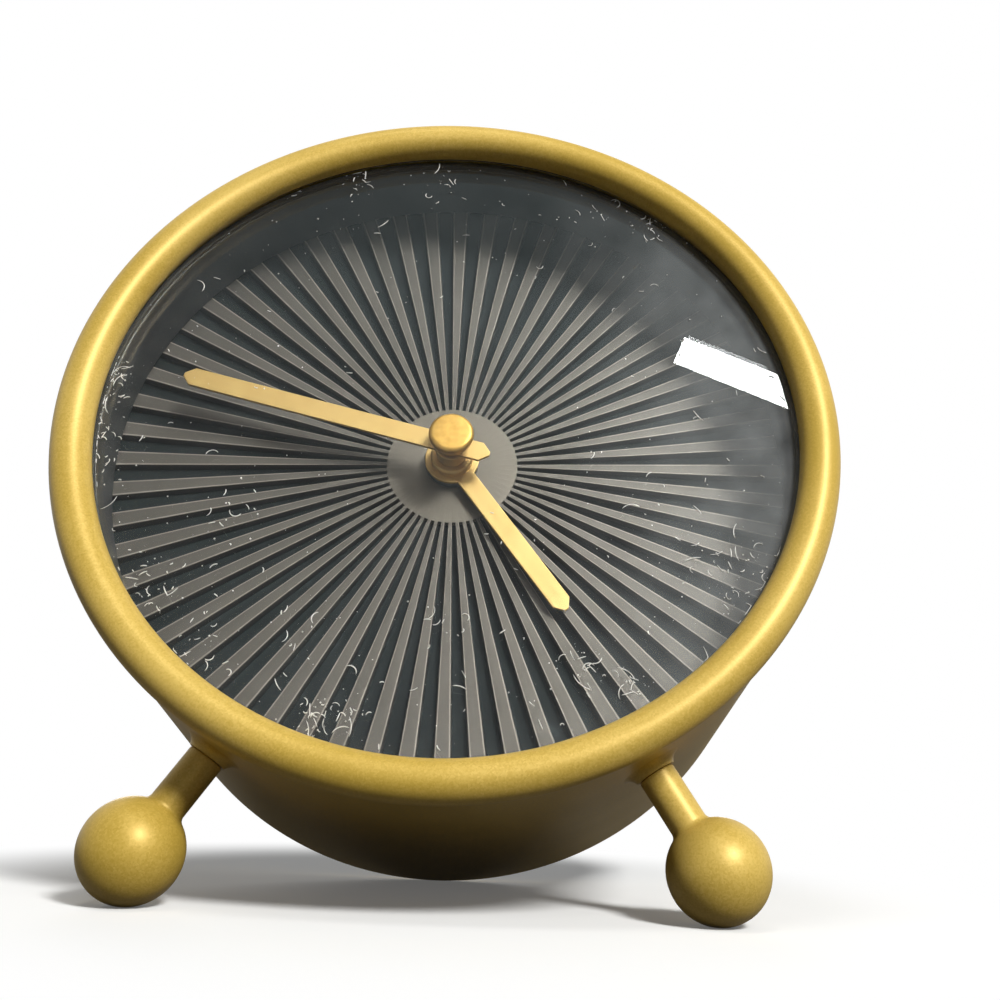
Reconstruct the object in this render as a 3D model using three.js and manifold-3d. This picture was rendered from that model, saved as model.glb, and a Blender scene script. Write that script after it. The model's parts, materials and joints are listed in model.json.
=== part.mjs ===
// Desk clock: a metal drum with a rounded front lip, a glazed dial of raised radial ribs, two baton
// hands, two ball feet, and a battery movement behind the dial.
//
// Lengths are in millimetres. Each piece is drawn in the clock's own frame: x to the right and y up
// across the dial, z towards the viewer. A depth is counted backwards from the front of the lip.
// At the end the whole clock leans back onto its two balls and the drum's rear edge.

import * as THREE from "three";
import { mergeVertices } from "three/addons/utils/BufferGeometryUtils.js";
import Module from "manifold-3d";

// Clearances
const GAP = 0.3; // between pieces that seat on each other
const RUNNING = 0.1; // round a shaft in its hole

// Drum and lip
const LIP_ROUND = 2.76; // radius of the lip's section
const CASE_RADIUS = 54.4;
const LIP_OVERHANG = 0.6; // how far the lip stands out past the drum
const CASE_WALL = 1.9;
const CASE_DEPTH = 58.9;
const CASE_REAR_ROUND = 1.6;
const LEDGE_WIDTH = 2; // inner ring that the dial rests on
const LEDGE_THICKNESS = 2;
const SKIRT_WALL = 1; // the part of the bezel that enters the drum
const SKIRT_LENGTH = 4.5;

// Glass, gasket and the dark ring between glass and dial
const GLASS_DEPTH = 4.1;
const GLASS_THICKNESS = 2;
const GASKET_WIDTH = 0.95;
const GASKET_THICKNESS = 0.6;
const SPACER_FRONT_WALL = 0.95;
const SPACER_REAR_WALL = 1.53;

// Dial
const DIAL_DEPTH = 18.4; // top of the ribs and of the centre disc
const DIAL_PLATE = 1.4;
const DIAL_DISC_RADIUS = 10;
const RIB_COUNT = 60;
const RIB_HEIGHT = 1.2;
const RIB_TOP_SHARE = 0.45; // width of a rib's top, as a share of the pitch
const RIB_BASE_SHARE = 0.57;
const RIB_OVERLAP = 0.6; // how far a rib's ends run into the disc and the rim
const DIAL_TURN = 1.4; // degrees anticlockwise
const DIAL_BOSS_RADIUS = 2.6;
const DIAL_BOSS_HEIGHT = 3;

// Feet
const LEG_ANGLE = 31.8; // degrees from six o'clock
const LEG_DEPTH = 14.5;
const LEG_LENGTH = 13.94; // parting line to the ball's centre
const BOSS_RADIUS = 2.75;
const BOSS_HEIGHT = 1.3;
const BOSS_FLARE = 1.5;
const STEM_RADIUS = 2.5;
const STEM_FILLET = 0.9;
const BALL_RADIUS = 6.63;
const SOLE_DEPTH = 0.1; // small flat where the ball stands
const STUD_RADIUS = 1.4;
const STUD_IN_BOSS = 2.1;
const STUD_IN_LEG = 4;

// Hands, with lifts counted forwards from the dial's disc
const HAND_THICKNESS = 0.5;
const HOUR_HAND_LIFT = 1.3;
const HOUR_HAND_LENGTH = 29.6;
const HOUR_HAND_WIDTH = 2.9;
const HOUR_HUB_RADIUS = 4.1;
const HOUR_COLLAR_RADIUS = 3.2;
const HOUR_COLLAR_HEIGHT = 1.1;
const MINUTE_HAND_LIFT = 5.7;
const MINUTE_HAND_LENGTH = 42.6;
const MINUTE_HAND_TAIL = 5.9;
const MINUTE_HAND_WIDTH = 3.1;
const MINUTE_COLLAR_RADIUS = 2.5;
const HAND_TIP_CHAMFER = 1.2;
const CAP_RADIUS = 3.3;
const CAP_THICKNESS = 1.5;
const CAP_NECK_RADIUS = 2.3;
const CAP_NECK_HEIGHT = 1.7;
const CAP_TOP_WALL = 0.7;
const CAP_ROUND_SHARE = 0.9; // of half the cap's thickness
const SHOWN_HOURS = 4;
const SHOWN_MINUTES = 47.35;

// Coaxial pipes
const ARBOR_RADIUS = 0.5;
const MINUTE_PIPE_RADIUS = 1.45;
const MINUTE_TAIL_RADIUS = 1.1;
const HOUR_PIPE_RADIUS = 2.5;
const POST_RADIUS = 3.6;
const POST_LIFT = 0.9; // end of the threaded post in front of the disc

// Movement housing
const HOUSING_WALL = 1.2;
const CAVITY_CORNER = 1.8; // inside radius of the housing's corners
const FRONT_SHELL_DEPTH = 9;
const PARTITION_WALL = 1.2;
const TRAIN_ROOM = 10.8; // centre arbor to the battery's partition
const PILLAR_RADIUS = 3;
const PILLAR_INSET = 4.3; // from the inside of the housing
const EAR_REACH = 7;
const EAR_HOLE_INSET = 3.5; // of the screw from the housing
const EAR_HALF_WIDTH = 3.5;
const EAR_THICKNESS = 1.5;

// Battery and its contacts
const BATTERY_RADIUS = 7.1;
const BATTERY_LENGTH = 48.6;
const BATTERY_NUB_RADIUS = 2.6;
const BATTERY_NUB_LENGTH = 1;
const BATTERY_END_ROOM = 2; // for a contact at each end
const CONTACT_THICKNESS = 0.4;
const CONTACT_WIDTH = 5;
const CONTACT_LAP = 1.5; // of the plus contact over the circuit board
const BUMP_BASE_RADIUS = 2.4;
const BUMP_TIP_RADIUS = 1.5;

// Gear teeth: a part's tooth counts, then the centre distances
const CANNON_TEETH = 10;
const MOTION_TEETH = 30;
const MOTION_PINION_TEETH = 8;
const HOUR_TEETH = 32;
const KNOB_TEETH = 10;
const CENTRE_TEETH = 48;
const THIRD_PINION_TEETH = 6;
const THIRD_TEETH = 45;
const SECOND_PINION_TEETH = 6;
const SECOND_TEETH = 48;
const INTERMEDIATE_PINION_TEETH = 8;
const INTERMEDIATE_TEETH = 40;
const ROTOR_TEETH = 8;
const ADDENDUM = 0.8;
const DEDENDUM = 1.15;
const TOOTH_TIP_SHARE = 0.11; // half widths, as shares of the tooth pitch
const TOOTH_ROOT_SHARE = 0.27;
const MOTION_DISTANCE = 7.5;
const MOTION_ANGLE = 160; // degrees, seen from the front, from three o'clock
const KNOB_DISTANCE = 7.5;
const KNOB_ANGLE = 150;
const THIRD_DISTANCE = 7.8;
const THIRD_ANGLE = -10;
const INTERMEDIATE_DISTANCE = 7.5;
const INTERMEDIATE_ANGLE = 100;
const ROTOR_DISTANCE = 7.2;
const ROTOR_ANGLE = 30;

// Thicknesses in the train, front to back
const HOUR_WHEEL_THICKNESS = 0.9;
const MOTION_WHEEL_THICKNESS = 0.8;
const CANNON_THICKNESS = 1.4;
const CENTRE_WHEEL_THICKNESS = 0.8;
const TRAIN_WHEEL_THICKNESS = 0.6;
const PINION_EXTRA = 0.2; // how far a pinion stands past the wheel that it drives, each side
const TRAIN_SPACE = 0.4; // between wheels that pass over each other
const TRAIN_PLATE_THICKNESS = 0.8;
const BRIDGE_THICKNESS = 1;
const BRIDGE_PILLAR_RADIUS = 1;
const MAGNET_RADIUS = 2.5;
const MAGNET_LENGTH = 2.2;
const PIVOT_BOSS_RADIUS = 1.1;
const PIVOT_BOSS_HEIGHT = 1.5;
const LOWER_PILLAR_DISTANCE = 11.4; // of the bridge's pillars from the nearest arbor
const SIDE_PILLAR_DISTANCE = 11;
const UPPER_PILLAR_DISTANCE = 8.8;
const LOWER_PILLAR_ANGLE = -39;
const SIDE_PILLAR_ANGLE = 219;
const UPPER_PILLAR_ANGLE = 154;

// Stepping motor and circuit
const STATOR_THICKNESS = 0.7;
const STATOR_RING_WIDTH = 1.6;
const STATOR_AIR = 0.5; // round the magnet
const STATOR_LEFT_REACH = 8.4; // from the rotor's arbor
const STATOR_RIGHT_REACH = 9.6;
const STATOR_ARM_WIDTH = 3;
const STATOR_BAR_RISE = 1.2; // of its lower edge above the rotor's arbor
const STATOR_BAR_WIDTH = 3.4;
const CORE_THICKNESS = 0.6;
const CORE_HEIGHT = 2.4;
const CORE_RISE = 8.5; // of the coil above the rotor's arbor
const COIL_ROOM = 7.3; // coil's axis to the inside of the housing
const BOBBIN_TUBE_RADIUS = 2.1;
const BOBBIN_FLANGE_RADIUS = 3.4;
const BOBBIN_FLANGE_THICKNESS = 0.6;
const WINDING_RADIUS = 3.2;
const BOARD_TO_STATOR = 5;
const BOARD_TO_PILLAR = 0.8;
const BOARD_THICKNESS = 0.8;
const CHIP_SIZE = 4.2;
const CHIP_THICKNESS = 0.9;
const CRYSTAL_RADIUS = 1;
const CRYSTAL_LENGTH = 6;

// Back cover: a round plate with a deep recess whose floor lies close behind the movement
const COVER_WALL = 2;
const COVER_FLOOR = 3;
const COVER_INSET = 0.8; // of its flange from the drum's rear edge
const RECESS_MARGIN = 1.5; // of the cover's recess round the movement housing
const LUG_RADIUS = 3;
const LUG_BITE = 0.5; // how far a lug runs into the drum's wall
const LUG_LENGTH = 10;
const COVER_SCREWS = 4;

// Battery door
const DOOR_MARGIN = 0.8; // above and below the battery
const DOOR_THICKNESS = 2.4;
const DOOR_PIN_RADIUS = 0.6;
const DOOR_PIN_LENGTH = 1.2;
const DOOR_NOTCH_RADIUS = 5;
const DOOR_NOTCH_DEPTH = 1.4;

// Setting knob
const KNOB_RADIUS = 5.5;
const KNOB_THICKNESS = 4.2;
const KNOB_SHAFT_RADIUS = 1.5;
const KNOB_SHAFT_HOLE = 3; // radius of the hole in the cover's floor
const KNOB_GROOVES = 18;
const KNOB_GROOVE_RADIUS = 0.45;

// Screws
const SCREW_RADIUS = 1;
const SCREW_HEAD_RADIUS = 1.9;
const SCREW_HEAD_THICKNESS = 1.4;
const SCREW_BITE = 2.4; // how deep a small screw runs into its pillar or boss
const COVER_SCREW_RADIUS = 1.25;
const COVER_SCREW_HEAD_RADIUS = 2.4;
const COVER_SCREW_LENGTH = 8;
const SCREW_SLOT_WIDTH = 0.6;
const SCREW_SLOT_DEPTH = 0.6;
const SCREW_SLOT_SHARE = 0.6; // of the head's radius

// Roundness: how many sides a round has
const RING_SIDES = 60;
const INNER_RING_SIDES = 48;
const GROOVE_SIDES = 8;
const BEAD_STEPS = 9;
const BALL_STEPS = 9;
const FILLET_STEPS = 4;
const REAR_ROUND_STEPS = 6;
const CAP_ROUND_STEPS = 3;
const CORNER_STEPS = 6;
const SMALL_SIDES = 20;
const TINY_SIDES = 12;

// Radii that follow from the sizes above
const CASE_INNER = CASE_RADIUS - CASE_WALL;
const FITTED_RADIUS = CASE_INNER - GAP; // of what slides into the drum
const LIP_CENTRE_RADIUS = CASE_RADIUS + LIP_OVERHANG - LIP_ROUND;
const SKIRT_INNER = FITTED_RADIUS - SKIRT_WALL;
const GLASS_RADIUS = SKIRT_INNER - GAP;
const BALL_DISTANCE = CASE_RADIUS + BOSS_HEIGHT + LEG_LENGTH;
const PARTING_RADIUS = CASE_RADIUS + BOSS_HEIGHT;
const POST_BORE = HOUR_PIPE_RADIUS + RUNNING;
const PIVOT_HOLE = ARBOR_RADIUS + RUNNING;

// Depths that follow from the sizes above, front to back
const SEAM_DEPTH = LIP_ROUND + Math.sqrt(LIP_ROUND ** 2 - (CASE_RADIUS - LIP_CENTRE_RADIUS) ** 2);
const CASE_FRONT = SEAM_DEPTH + GAP;
const SKIRT_END = SEAM_DEPTH + SKIRT_LENGTH;
const GLASS_BACK = GLASS_DEPTH + GLASS_THICKNESS;
const GASKET_FRONT = GLASS_BACK + GAP;
const GASKET_BACK = GASKET_FRONT + GASKET_THICKNESS;
const SPACER_FRONT = GASKET_BACK + GAP;
const SPACER_STEP = SKIRT_END + GAP;
const SPACER_BACK = DIAL_DEPTH - GAP;
const GROOVE_DEPTH = DIAL_DEPTH + RIB_HEIGHT;
const DIAL_BACK = GROOVE_DEPTH + DIAL_PLATE;
const LEDGE_DEPTH = DIAL_BACK + GAP;
const SHELL_FRONT = DIAL_BACK + GAP;
const SHELL_FLOOR = SHELL_FRONT + HOUSING_WALL;
const SHELL_SPLIT = SHELL_FRONT + FRONT_SHELL_DEPTH;
const BATTERY_DEPTH = SHELL_FLOOR + GAP + BATTERY_RADIUS;
const SHELL_BACK = BATTERY_DEPTH + BATTERY_RADIUS + GAP;
const REAR_SHELL_FLOOR = SHELL_BACK - HOUSING_WALL;
const HOUR_WHEEL_FRONT = SHELL_FLOOR + GAP;
const HOUR_WHEEL_BACK = HOUR_WHEEL_FRONT + HOUR_WHEEL_THICKNESS;
const CANNON_FRONT = HOUR_WHEEL_BACK + GAP;
const CANNON_BACK = CANNON_FRONT + CANNON_THICKNESS;
const MOTION_WHEEL_FRONT = CANNON_FRONT + PINION_EXTRA;
const MOTION_WHEEL_BACK = MOTION_WHEEL_FRONT + MOTION_WHEEL_THICKNESS;
const CENTRE_WHEEL_FRONT = CANNON_BACK + TRAIN_SPACE;
const CENTRE_WHEEL_BACK = CENTRE_WHEEL_FRONT + CENTRE_WHEEL_THICKNESS;
const PLATE_FRONT = CENTRE_WHEEL_BACK + PINION_EXTRA + TRAIN_SPACE;
const PLATE_BACK = PLATE_FRONT + TRAIN_PLATE_THICKNESS;
const THIRD_WHEEL_FRONT = PLATE_BACK + PINION_EXTRA + GAP;
const THIRD_WHEEL_BACK = THIRD_WHEEL_FRONT + TRAIN_WHEEL_THICKNESS;
const SECOND_WHEEL_FRONT = THIRD_WHEEL_BACK + PINION_EXTRA + TRAIN_SPACE;
const SECOND_WHEEL_BACK = SECOND_WHEEL_FRONT + TRAIN_WHEEL_THICKNESS;
const MAGNET_FRONT = PLATE_BACK + GAP;
const MAGNET_BACK = MAGNET_FRONT + MAGNET_LENGTH;
const INTERMEDIATE_WHEEL_FRONT = SECOND_WHEEL_BACK + PINION_EXTRA + TRAIN_SPACE;
const INTERMEDIATE_WHEEL_BACK = INTERMEDIATE_WHEEL_FRONT + TRAIN_WHEEL_THICKNESS;
const BRIDGE_FRONT = INTERMEDIATE_WHEEL_BACK + PINION_EXTRA + TRAIN_SPACE;
const BRIDGE_BACK = BRIDGE_FRONT + BRIDGE_THICKNESS;
const STATOR_FRONT = MAGNET_FRONT + (MAGNET_LENGTH - STATOR_THICKNESS) / 2;
const STATOR_BACK = STATOR_FRONT + STATOR_THICKNESS;
const CORE_BACK = STATOR_FRONT - GAP;
const CORE_FRONT = CORE_BACK - CORE_THICKNESS;
const CORE_DEPTH = (CORE_FRONT + CORE_BACK) / 2;
const COVER_FLOOR_FRONT = SHELL_BACK + GAP;
const COVER_FLOOR_BACK = COVER_FLOOR_FRONT + COVER_FLOOR;
const COVER_FLANGE_BACK = CASE_DEPTH - COVER_INSET;
const COVER_FLANGE_FRONT = COVER_FLANGE_BACK - COVER_WALL;
const LUG_BACK = COVER_FLANGE_FRONT - GAP;
const BOSS_BACK = DIAL_BACK + DIAL_BOSS_HEIGHT;
const EAR_FRONT = BOSS_BACK + GAP;
const EAR_BACK = EAR_FRONT + EAR_THICKNESS;

// Depths in front of the dial, counted down from the disc by the lifts
const hourHandBack = DIAL_DEPTH - HOUR_HAND_LIFT;
const hourHandFront = hourHandBack - HAND_THICKNESS;
const hourCollarFront = hourHandFront - HOUR_COLLAR_HEIGHT;
const minuteHandBack = DIAL_DEPTH - MINUTE_HAND_LIFT;
const minuteHandFront = minuteHandBack - HAND_THICKNESS;
const minuteCollarBack = hourCollarFront - GAP;
const capNeckBack = minuteHandFront - GAP;
const capBack = capNeckBack - CAP_NECK_HEIGHT;
const capFront = capBack - CAP_THICKNESS;
const minutePipeFront = capFront + CAP_TOP_WALL + GAP;

const radians = (degrees) => (degrees * Math.PI) / 180;

// Places of the arbors across the dial
function onRay(centre, distance, degrees) {
  const angle = radians(degrees);
  return new THREE.Vector2(centre.x + distance * Math.cos(angle), centre.y + distance * Math.sin(angle));
}
const centreAxis = new THREE.Vector2(0, 0);
const motionAxis = onRay(centreAxis, MOTION_DISTANCE, MOTION_ANGLE);
const knobAxis = onRay(motionAxis, KNOB_DISTANCE, KNOB_ANGLE);
const thirdAxis = onRay(centreAxis, THIRD_DISTANCE, THIRD_ANGLE);
const intermediateAxis = onRay(centreAxis, INTERMEDIATE_DISTANCE, INTERMEDIATE_ANGLE);
const rotorAxis = onRay(intermediateAxis, ROTOR_DISTANCE, ROTOR_ANGLE);
const bridgePillars = [
  onRay(thirdAxis, LOWER_PILLAR_DISTANCE, LOWER_PILLAR_ANGLE),
  onRay(centreAxis, SIDE_PILLAR_DISTANCE, SIDE_PILLAR_ANGLE),
  onRay(intermediateAxis, UPPER_PILLAR_DISTANCE, UPPER_PILLAR_ANGLE),
];

// Inside of the movement housing: as wide as the battery, with room for the train above it
const cavityHalf = (BATTERY_LENGTH + BATTERY_NUB_LENGTH) / 2 + BATTERY_END_ROOM;
const housingHalf = cavityHalf + HOUSING_WALL;
const partitionHigh = -TRAIN_ROOM;
const partitionLow = partitionHigh - PARTITION_WALL;
const batteryY = partitionLow - GAP - BATTERY_RADIUS;
const cavityLow = batteryY - BATTERY_RADIUS - GAP;
const coreY = rotorAxis.y + CORE_RISE;
const cavityHigh = coreY + COIL_ROOM;
const contactInner = cavityHalf - GAP - CONTACT_THICKNESS;
const statorLeft = rotorAxis.x - STATOR_LEFT_REACH;
const statorRight = rotorAxis.x + STATOR_RIGHT_REACH;
const bobbinLeft = statorLeft + STATOR_ARM_WIDTH;
const bobbinRight = statorRight - STATOR_ARM_WIDTH;
const pillarPlaces = [-1, 1].map((side) =>
  new THREE.Vector2(side * (cavityHalf - PILLAR_INSET), cavityHigh - PILLAR_INSET),
);
const dialScrewPlaces = [-1, 1].map((side) => new THREE.Vector2(side * (housingHalf + EAR_HOLE_INSET), 0));

// Screws of the back cover, in lugs on the inside of the drum
const lugRadius = CASE_INNER - LUG_RADIUS + LUG_BITE;
const coverScrewPlaces = Array.from({ length: COVER_SCREWS }, (_, i) =>
  onRay(centreAxis, lugRadius, (i * 360) / COVER_SCREWS),
);

// Door and its hinge, across the cover's floor
const doorHalf = cavityHalf;
const doorLow = batteryY - BATTERY_RADIUS - DOOR_MARGIN;
const doorHigh = batteryY + BATTERY_RADIUS + DOOR_MARGIN;
const doorFront = COVER_FLOOR_BACK - DOOR_THICKNESS;
const hingeY = doorLow + DOOR_THICKNESS / 2;
const hingeDepth = COVER_FLOOR_BACK - DOOR_THICKNESS / 2;

// The clock leans back until its two balls and the drum's rear edge touch one level.
function leanAngle() {
  const ballY = -BALL_DISTANCE * Math.cos(radians(LEG_ANGLE));
  const edgeY = -(CASE_RADIUS - CASE_REAR_ROUND);
  const edgeZ = -(CASE_DEPTH - CASE_REAR_ROUND);
  const across = ballY - edgeY;
  const along = -LEG_DEPTH - edgeZ;
  const rise = BALL_RADIUS - SOLE_DEPTH - CASE_REAR_ROUND;
  return Math.atan2(along, across) - Math.acos(rise / Math.hypot(along, across));
}
const lean = leanAngle();

// Solids: the boolean library joins and cuts closed meshes
const wasm = await Module();
wasm.setup();

// Keeps only positions, joins shared corners, drops flat slivers at poles and turns faces outwards.
function closedMesh(geometry) {
  const bare = geometry.clone();
  bare.deleteAttribute("normal");
  bare.deleteAttribute("uv");
  const merged = mergeVertices(bare);
  const position = merged.attributes.position;
  const index = merged.index.array;
  const kept = [];
  let volume = 0;
  const a = new THREE.Vector3();
  const b = new THREE.Vector3();
  const c = new THREE.Vector3();
  for (let i = 0; i < index.length; i += 3) {
    const [p, q, r] = [index[i], index[i + 1], index[i + 2]];
    if (p !== q && q !== r && r !== p) {
      kept.push(p, q, r);
      a.fromBufferAttribute(position, p);
      b.fromBufferAttribute(position, q);
      c.fromBufferAttribute(position, r);
      volume += a.dot(b.cross(c));
    }
  }
  if (volume < 0) kept.reverse();
  merged.setIndex(kept);
  return merged;
}

function toSolid(geometry) {
  const mesh = closedMesh(geometry);
  const vertProperties = new Float32Array(mesh.attributes.position.array);
  const triVerts = new Uint32Array(mesh.index.array);
  return new wasm.Manifold(new wasm.Mesh({ numProp: 3, vertProperties, triVerts }));
}

function toGeometry(solid) {
  const mesh = solid.getMesh();
  const geometry = new THREE.BufferGeometry();
  geometry.setAttribute("position", new THREE.BufferAttribute(new Float32Array(mesh.vertProperties), 3));
  geometry.setIndex(new THREE.BufferAttribute(new Uint32Array(mesh.triVerts), 1));
  return geometry;
}

function join(...geometries) {
  const [first, ...rest] = geometries.map(toSolid);
  return toGeometry(rest.reduce((whole, piece) => whole.add(piece), first));
}

function cut(geometry, ...tools) {
  const start = toSolid(geometry);
  return toGeometry(tools.map(toSolid).reduce((whole, tool) => whole.subtract(tool), start));
}

function common(geometry, other) {
  return toGeometry(toSolid(geometry).intersect(toSolid(other)));
}

// Round solid about the clock's axis from a closed outline of [radius, depth] corners
function turned(outline, sides) {
  const points = outline.map(([radius, depth]) => new THREE.Vector2(radius, -depth));
  return new THREE.LatheGeometry(points, sides).rotateX(Math.PI / 2);
}

function rod(radius, front, back, sides, place = centreAxis) {
  const geometry = new THREE.CylinderGeometry(radius, radius, back - front, sides);
  return geometry.rotateX(Math.PI / 2).translate(place.x, place.y, -(front + back) / 2);
}

// Few-sided rod for pins, shanks and their holes
function pin(radius, front, back, place = centreAxis) {
  return rod(radius, front, back, TINY_SIDES, place);
}

// Cutter for a hole that opens at both of the given depths
function through(radius, front, back, place = centreAxis) {
  return pin(radius, front - GAP, back + GAP, place);
}

function block(left, right, low, high, front, back) {
  const geometry = new THREE.BoxGeometry(right - left, high - low, back - front);
  return geometry.translate((left + right) / 2, (low + high) / 2, -(front + back) / 2);
}

function plate(shape, front, back) {
  const options = { depth: back - front, bevelEnabled: false, curveSegments: CORNER_STEPS };
  return new THREE.ExtrudeGeometry(shape, options).translate(0, 0, -back);
}

// Plate with the outline of the housing's inside, grown all round by a margin
function housingPlate(margin, front, back) {
  const corner = CAVITY_CORNER + margin;
  const right = cavityHalf + margin - corner;
  const low = cavityLow - margin + corner;
  const high = cavityHigh + margin - corner;
  const quarter = Math.PI / 2;
  const shape = new THREE.Shape();
  shape.absarc(right, low, corner, -quarter, 0, false);
  shape.absarc(right, high, corner, 0, quarter, false);
  shape.absarc(-right, high, corner, quarter, 2 * quarter, false);
  shape.absarc(-right, low, corner, 2 * quarter, 3 * quarter, false);
  shape.closePath();
  return plate(shape, front, back);
}

// Arc of [radius, depth] corners round a centre, for the outlines of turned pieces
function arc(centreRadius, centreDepth, radius, fromDegrees, toDegrees, steps) {
  const corners = [];
  for (let i = 0; i <= steps; i += 1) {
    const angle = radians(fromDegrees + ((toDegrees - fromDegrees) * i) / steps);
    corners.push([centreRadius + radius * Math.cos(angle), centreDepth + radius * Math.sin(angle)]);
  }
  return corners;
}

// Gears

// Outline of straight-flanked teeth; the first tooth points along +x turned by the phase.
function gearShape(teeth, module, phase) {
  const pitchRadius = (teeth * module) / 2;
  const tip = pitchRadius + ADDENDUM * module;
  const root = pitchRadius - DEDENDUM * module;
  const flank = [
    [-TOOTH_ROOT_SHARE, root],
    [-TOOTH_TIP_SHARE, tip],
    [TOOTH_TIP_SHARE, tip],
    [TOOTH_ROOT_SHARE, root],
  ];
  const points = [];
  for (let tooth = 0; tooth < teeth; tooth += 1) {
    for (const [share, radius] of flank) {
      const angle = phase + ((tooth + share) * 2 * Math.PI) / teeth;
      points.push(new THREE.Vector2(radius * Math.cos(angle), radius * Math.sin(angle)));
    }
  }
  return new THREE.Shape(points);
}

function gear(teeth, module, phase, front, back, place) {
  return plate(gearShape(teeth, module, phase), front, back).translate(place.x, place.y, 0);
}

const moduleFor = (distance, teethA, teethB) => (2 * distance) / (teethA + teethB);

// Phase of gear B that sets its teeth in the gaps of gear A, for the line of centres from A to B
function meshedPhase(lineDegrees, phaseA, teethA, teethB) {
  const line = radians(lineDegrees);
  const pitchA = (2 * Math.PI) / teethA;
  const share = (phaseA - line) / pitchA;
  return line + Math.PI + ((0.5 - share) * 2 * Math.PI) / teethB;
}

// Materials
const finish = (color, roughness, metalness) => ({ color, roughness, metalness });
const GOLD = finish(0xc9a23c, 0.4, 1);
const HAND_GOLD = finish(0xe0b860, 0.4, 1);
const DIAL_BLACK = finish(0x35383a, 0.7, 0);
const BLACK_PLASTIC = finish(0x1c1d1e, 0.6, 0);
const GREY_PLASTIC = finish(0x8a8d90, 0.6, 0);
const WHITE_PLASTIC = finish(0xd9d8d2, 0.5, 0);
const RUBBER = finish(0x101010, 0.9, 0);
const GLASS = finish(0xdfe8e6, 0.05, 0);
const STEEL = finish(0xb8bbbd, 0.35, 1);
const BRASS = finish(0xb99345, 0.35, 1);
const COPPER = finish(0xa8582c, 0.4, 1);
const BOARD_GREEN = finish(0x1f5a38, 0.6, 0);
const BATTERY_SLEEVE = finish(0x3a4a5a, 0.4, 0);

const clock = new THREE.Group();

function place(name, geometry, look) {
  const surface = closedMesh(geometry);
  surface.computeVertexNormals();
  const mesh = new THREE.Mesh(surface, new THREE.MeshStandardMaterial(look));
  mesh.name = name;
  clock.add(mesh);
}

// Case

// Rounded lip with a flat seat for the glass and a skirt that enters the drum
function bezel() {
  const seatDepth = GLASS_DEPTH - GAP;
  const seatAngle = 180 - (Math.asin((seatDepth - LIP_ROUND) / LIP_ROUND) * 180) / Math.PI;
  const seamAngle = (Math.asin((SEAM_DEPTH - LIP_ROUND) / LIP_ROUND) * 180) / Math.PI;
  const bead = [
    ...arc(LIP_CENTRE_RADIUS, LIP_ROUND, LIP_ROUND, seatAngle, 360, BEAD_STEPS),
    ...arc(LIP_CENTRE_RADIUS, LIP_ROUND, LIP_ROUND, 0, seamAngle, 2).slice(1),
  ];
  const outline = [
    ...bead,
    [FITTED_RADIUS, SEAM_DEPTH],
    [FITTED_RADIUS, SKIRT_END],
    [SKIRT_INNER, SKIRT_END],
    [SKIRT_INNER, seatDepth],
    bead[0],
  ];
  return turned(outline, RING_SIDES);
}

// Solid about a leg's axis, from [radius, distance from the drum's axis] corners
function aboutLeg(outline, side, sides) {
  const points = outline.map(([radius, distance]) => new THREE.Vector2(radius, distance));
  const solid = new THREE.LatheGeometry(points, sides);
  return solid.rotateZ(Math.PI + side * radians(LEG_ANGLE)).translate(0, 0, -LEG_DEPTH);
}

// Short boss with a flared foot that blends into the drum's wall
function legBoss(side) {
  const flare = arc(BOSS_RADIUS + BOSS_FLARE, CASE_RADIUS + BOSS_FLARE, BOSS_FLARE, 270, 180, FILLET_STEPS);
  const end = PARTING_RADIUS - GAP / 2;
  const kept = flare.filter(([, distance]) => distance < end);
  const outline = [
    [0, CASE_INNER + CASE_WALL / 2],
    [BOSS_RADIUS + BOSS_FLARE, CASE_INNER + CASE_WALL / 2],
    ...kept,
    [BOSS_RADIUS, end],
    [0, end],
  ];
  return aboutLeg(outline, side, SMALL_SIDES);
}

function studHole(side, from, to) {
  const radius = STUD_RADIUS + RUNNING;
  const outline = [[0, from], [radius, from], [radius, to], [0, to]];
  return aboutLeg(outline, side, TINY_SIDES);
}

function caseBody() {
  const roundRadius = CASE_RADIUS - CASE_REAR_ROUND;
  const roundDepth = CASE_DEPTH - CASE_REAR_ROUND;
  const rearArc = arc(roundRadius, roundDepth, CASE_REAR_ROUND, 0, 90, REAR_ROUND_STEPS);
  const ledgeRadius = CASE_INNER - LEDGE_WIDTH;
  const outline = [
    [CASE_INNER, CASE_FRONT],
    [CASE_RADIUS, CASE_FRONT],
    ...rearArc,
    [CASE_INNER, CASE_DEPTH],
    [CASE_INNER, LEDGE_DEPTH + LEDGE_THICKNESS],
    [ledgeRadius, LEDGE_DEPTH + LEDGE_THICKNESS],
    [ledgeRadius, LEDGE_DEPTH],
    [CASE_INNER, LEDGE_DEPTH],
    [CASE_INNER, CASE_FRONT],
  ];
  const drum = turned(outline, RING_SIDES);
  const lugFront = LUG_BACK - LUG_LENGTH;
  const lugs = coverScrewPlaces.map((spot) => rod(LUG_RADIUS, lugFront, LUG_BACK, SMALL_SIDES, spot));
  const body = join(drum, legBoss(-1), legBoss(1), ...lugs);
  const screwTip = COVER_FLANGE_BACK - COVER_SCREW_LENGTH;
  const screwHoles = coverScrewPlaces.map((spot) =>
    through(COVER_SCREW_RADIUS + RUNNING, screwTip, CASE_DEPTH, spot),
  );
  const bossEnd = PARTING_RADIUS - GAP / 2;
  const studHoles = [-1, 1].map((side) => studHole(side, bossEnd - STUD_IN_BOSS - GAP, PARTING_RADIUS + GAP));
  return cut(body, ...screwHoles, ...studHoles);
}

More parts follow.
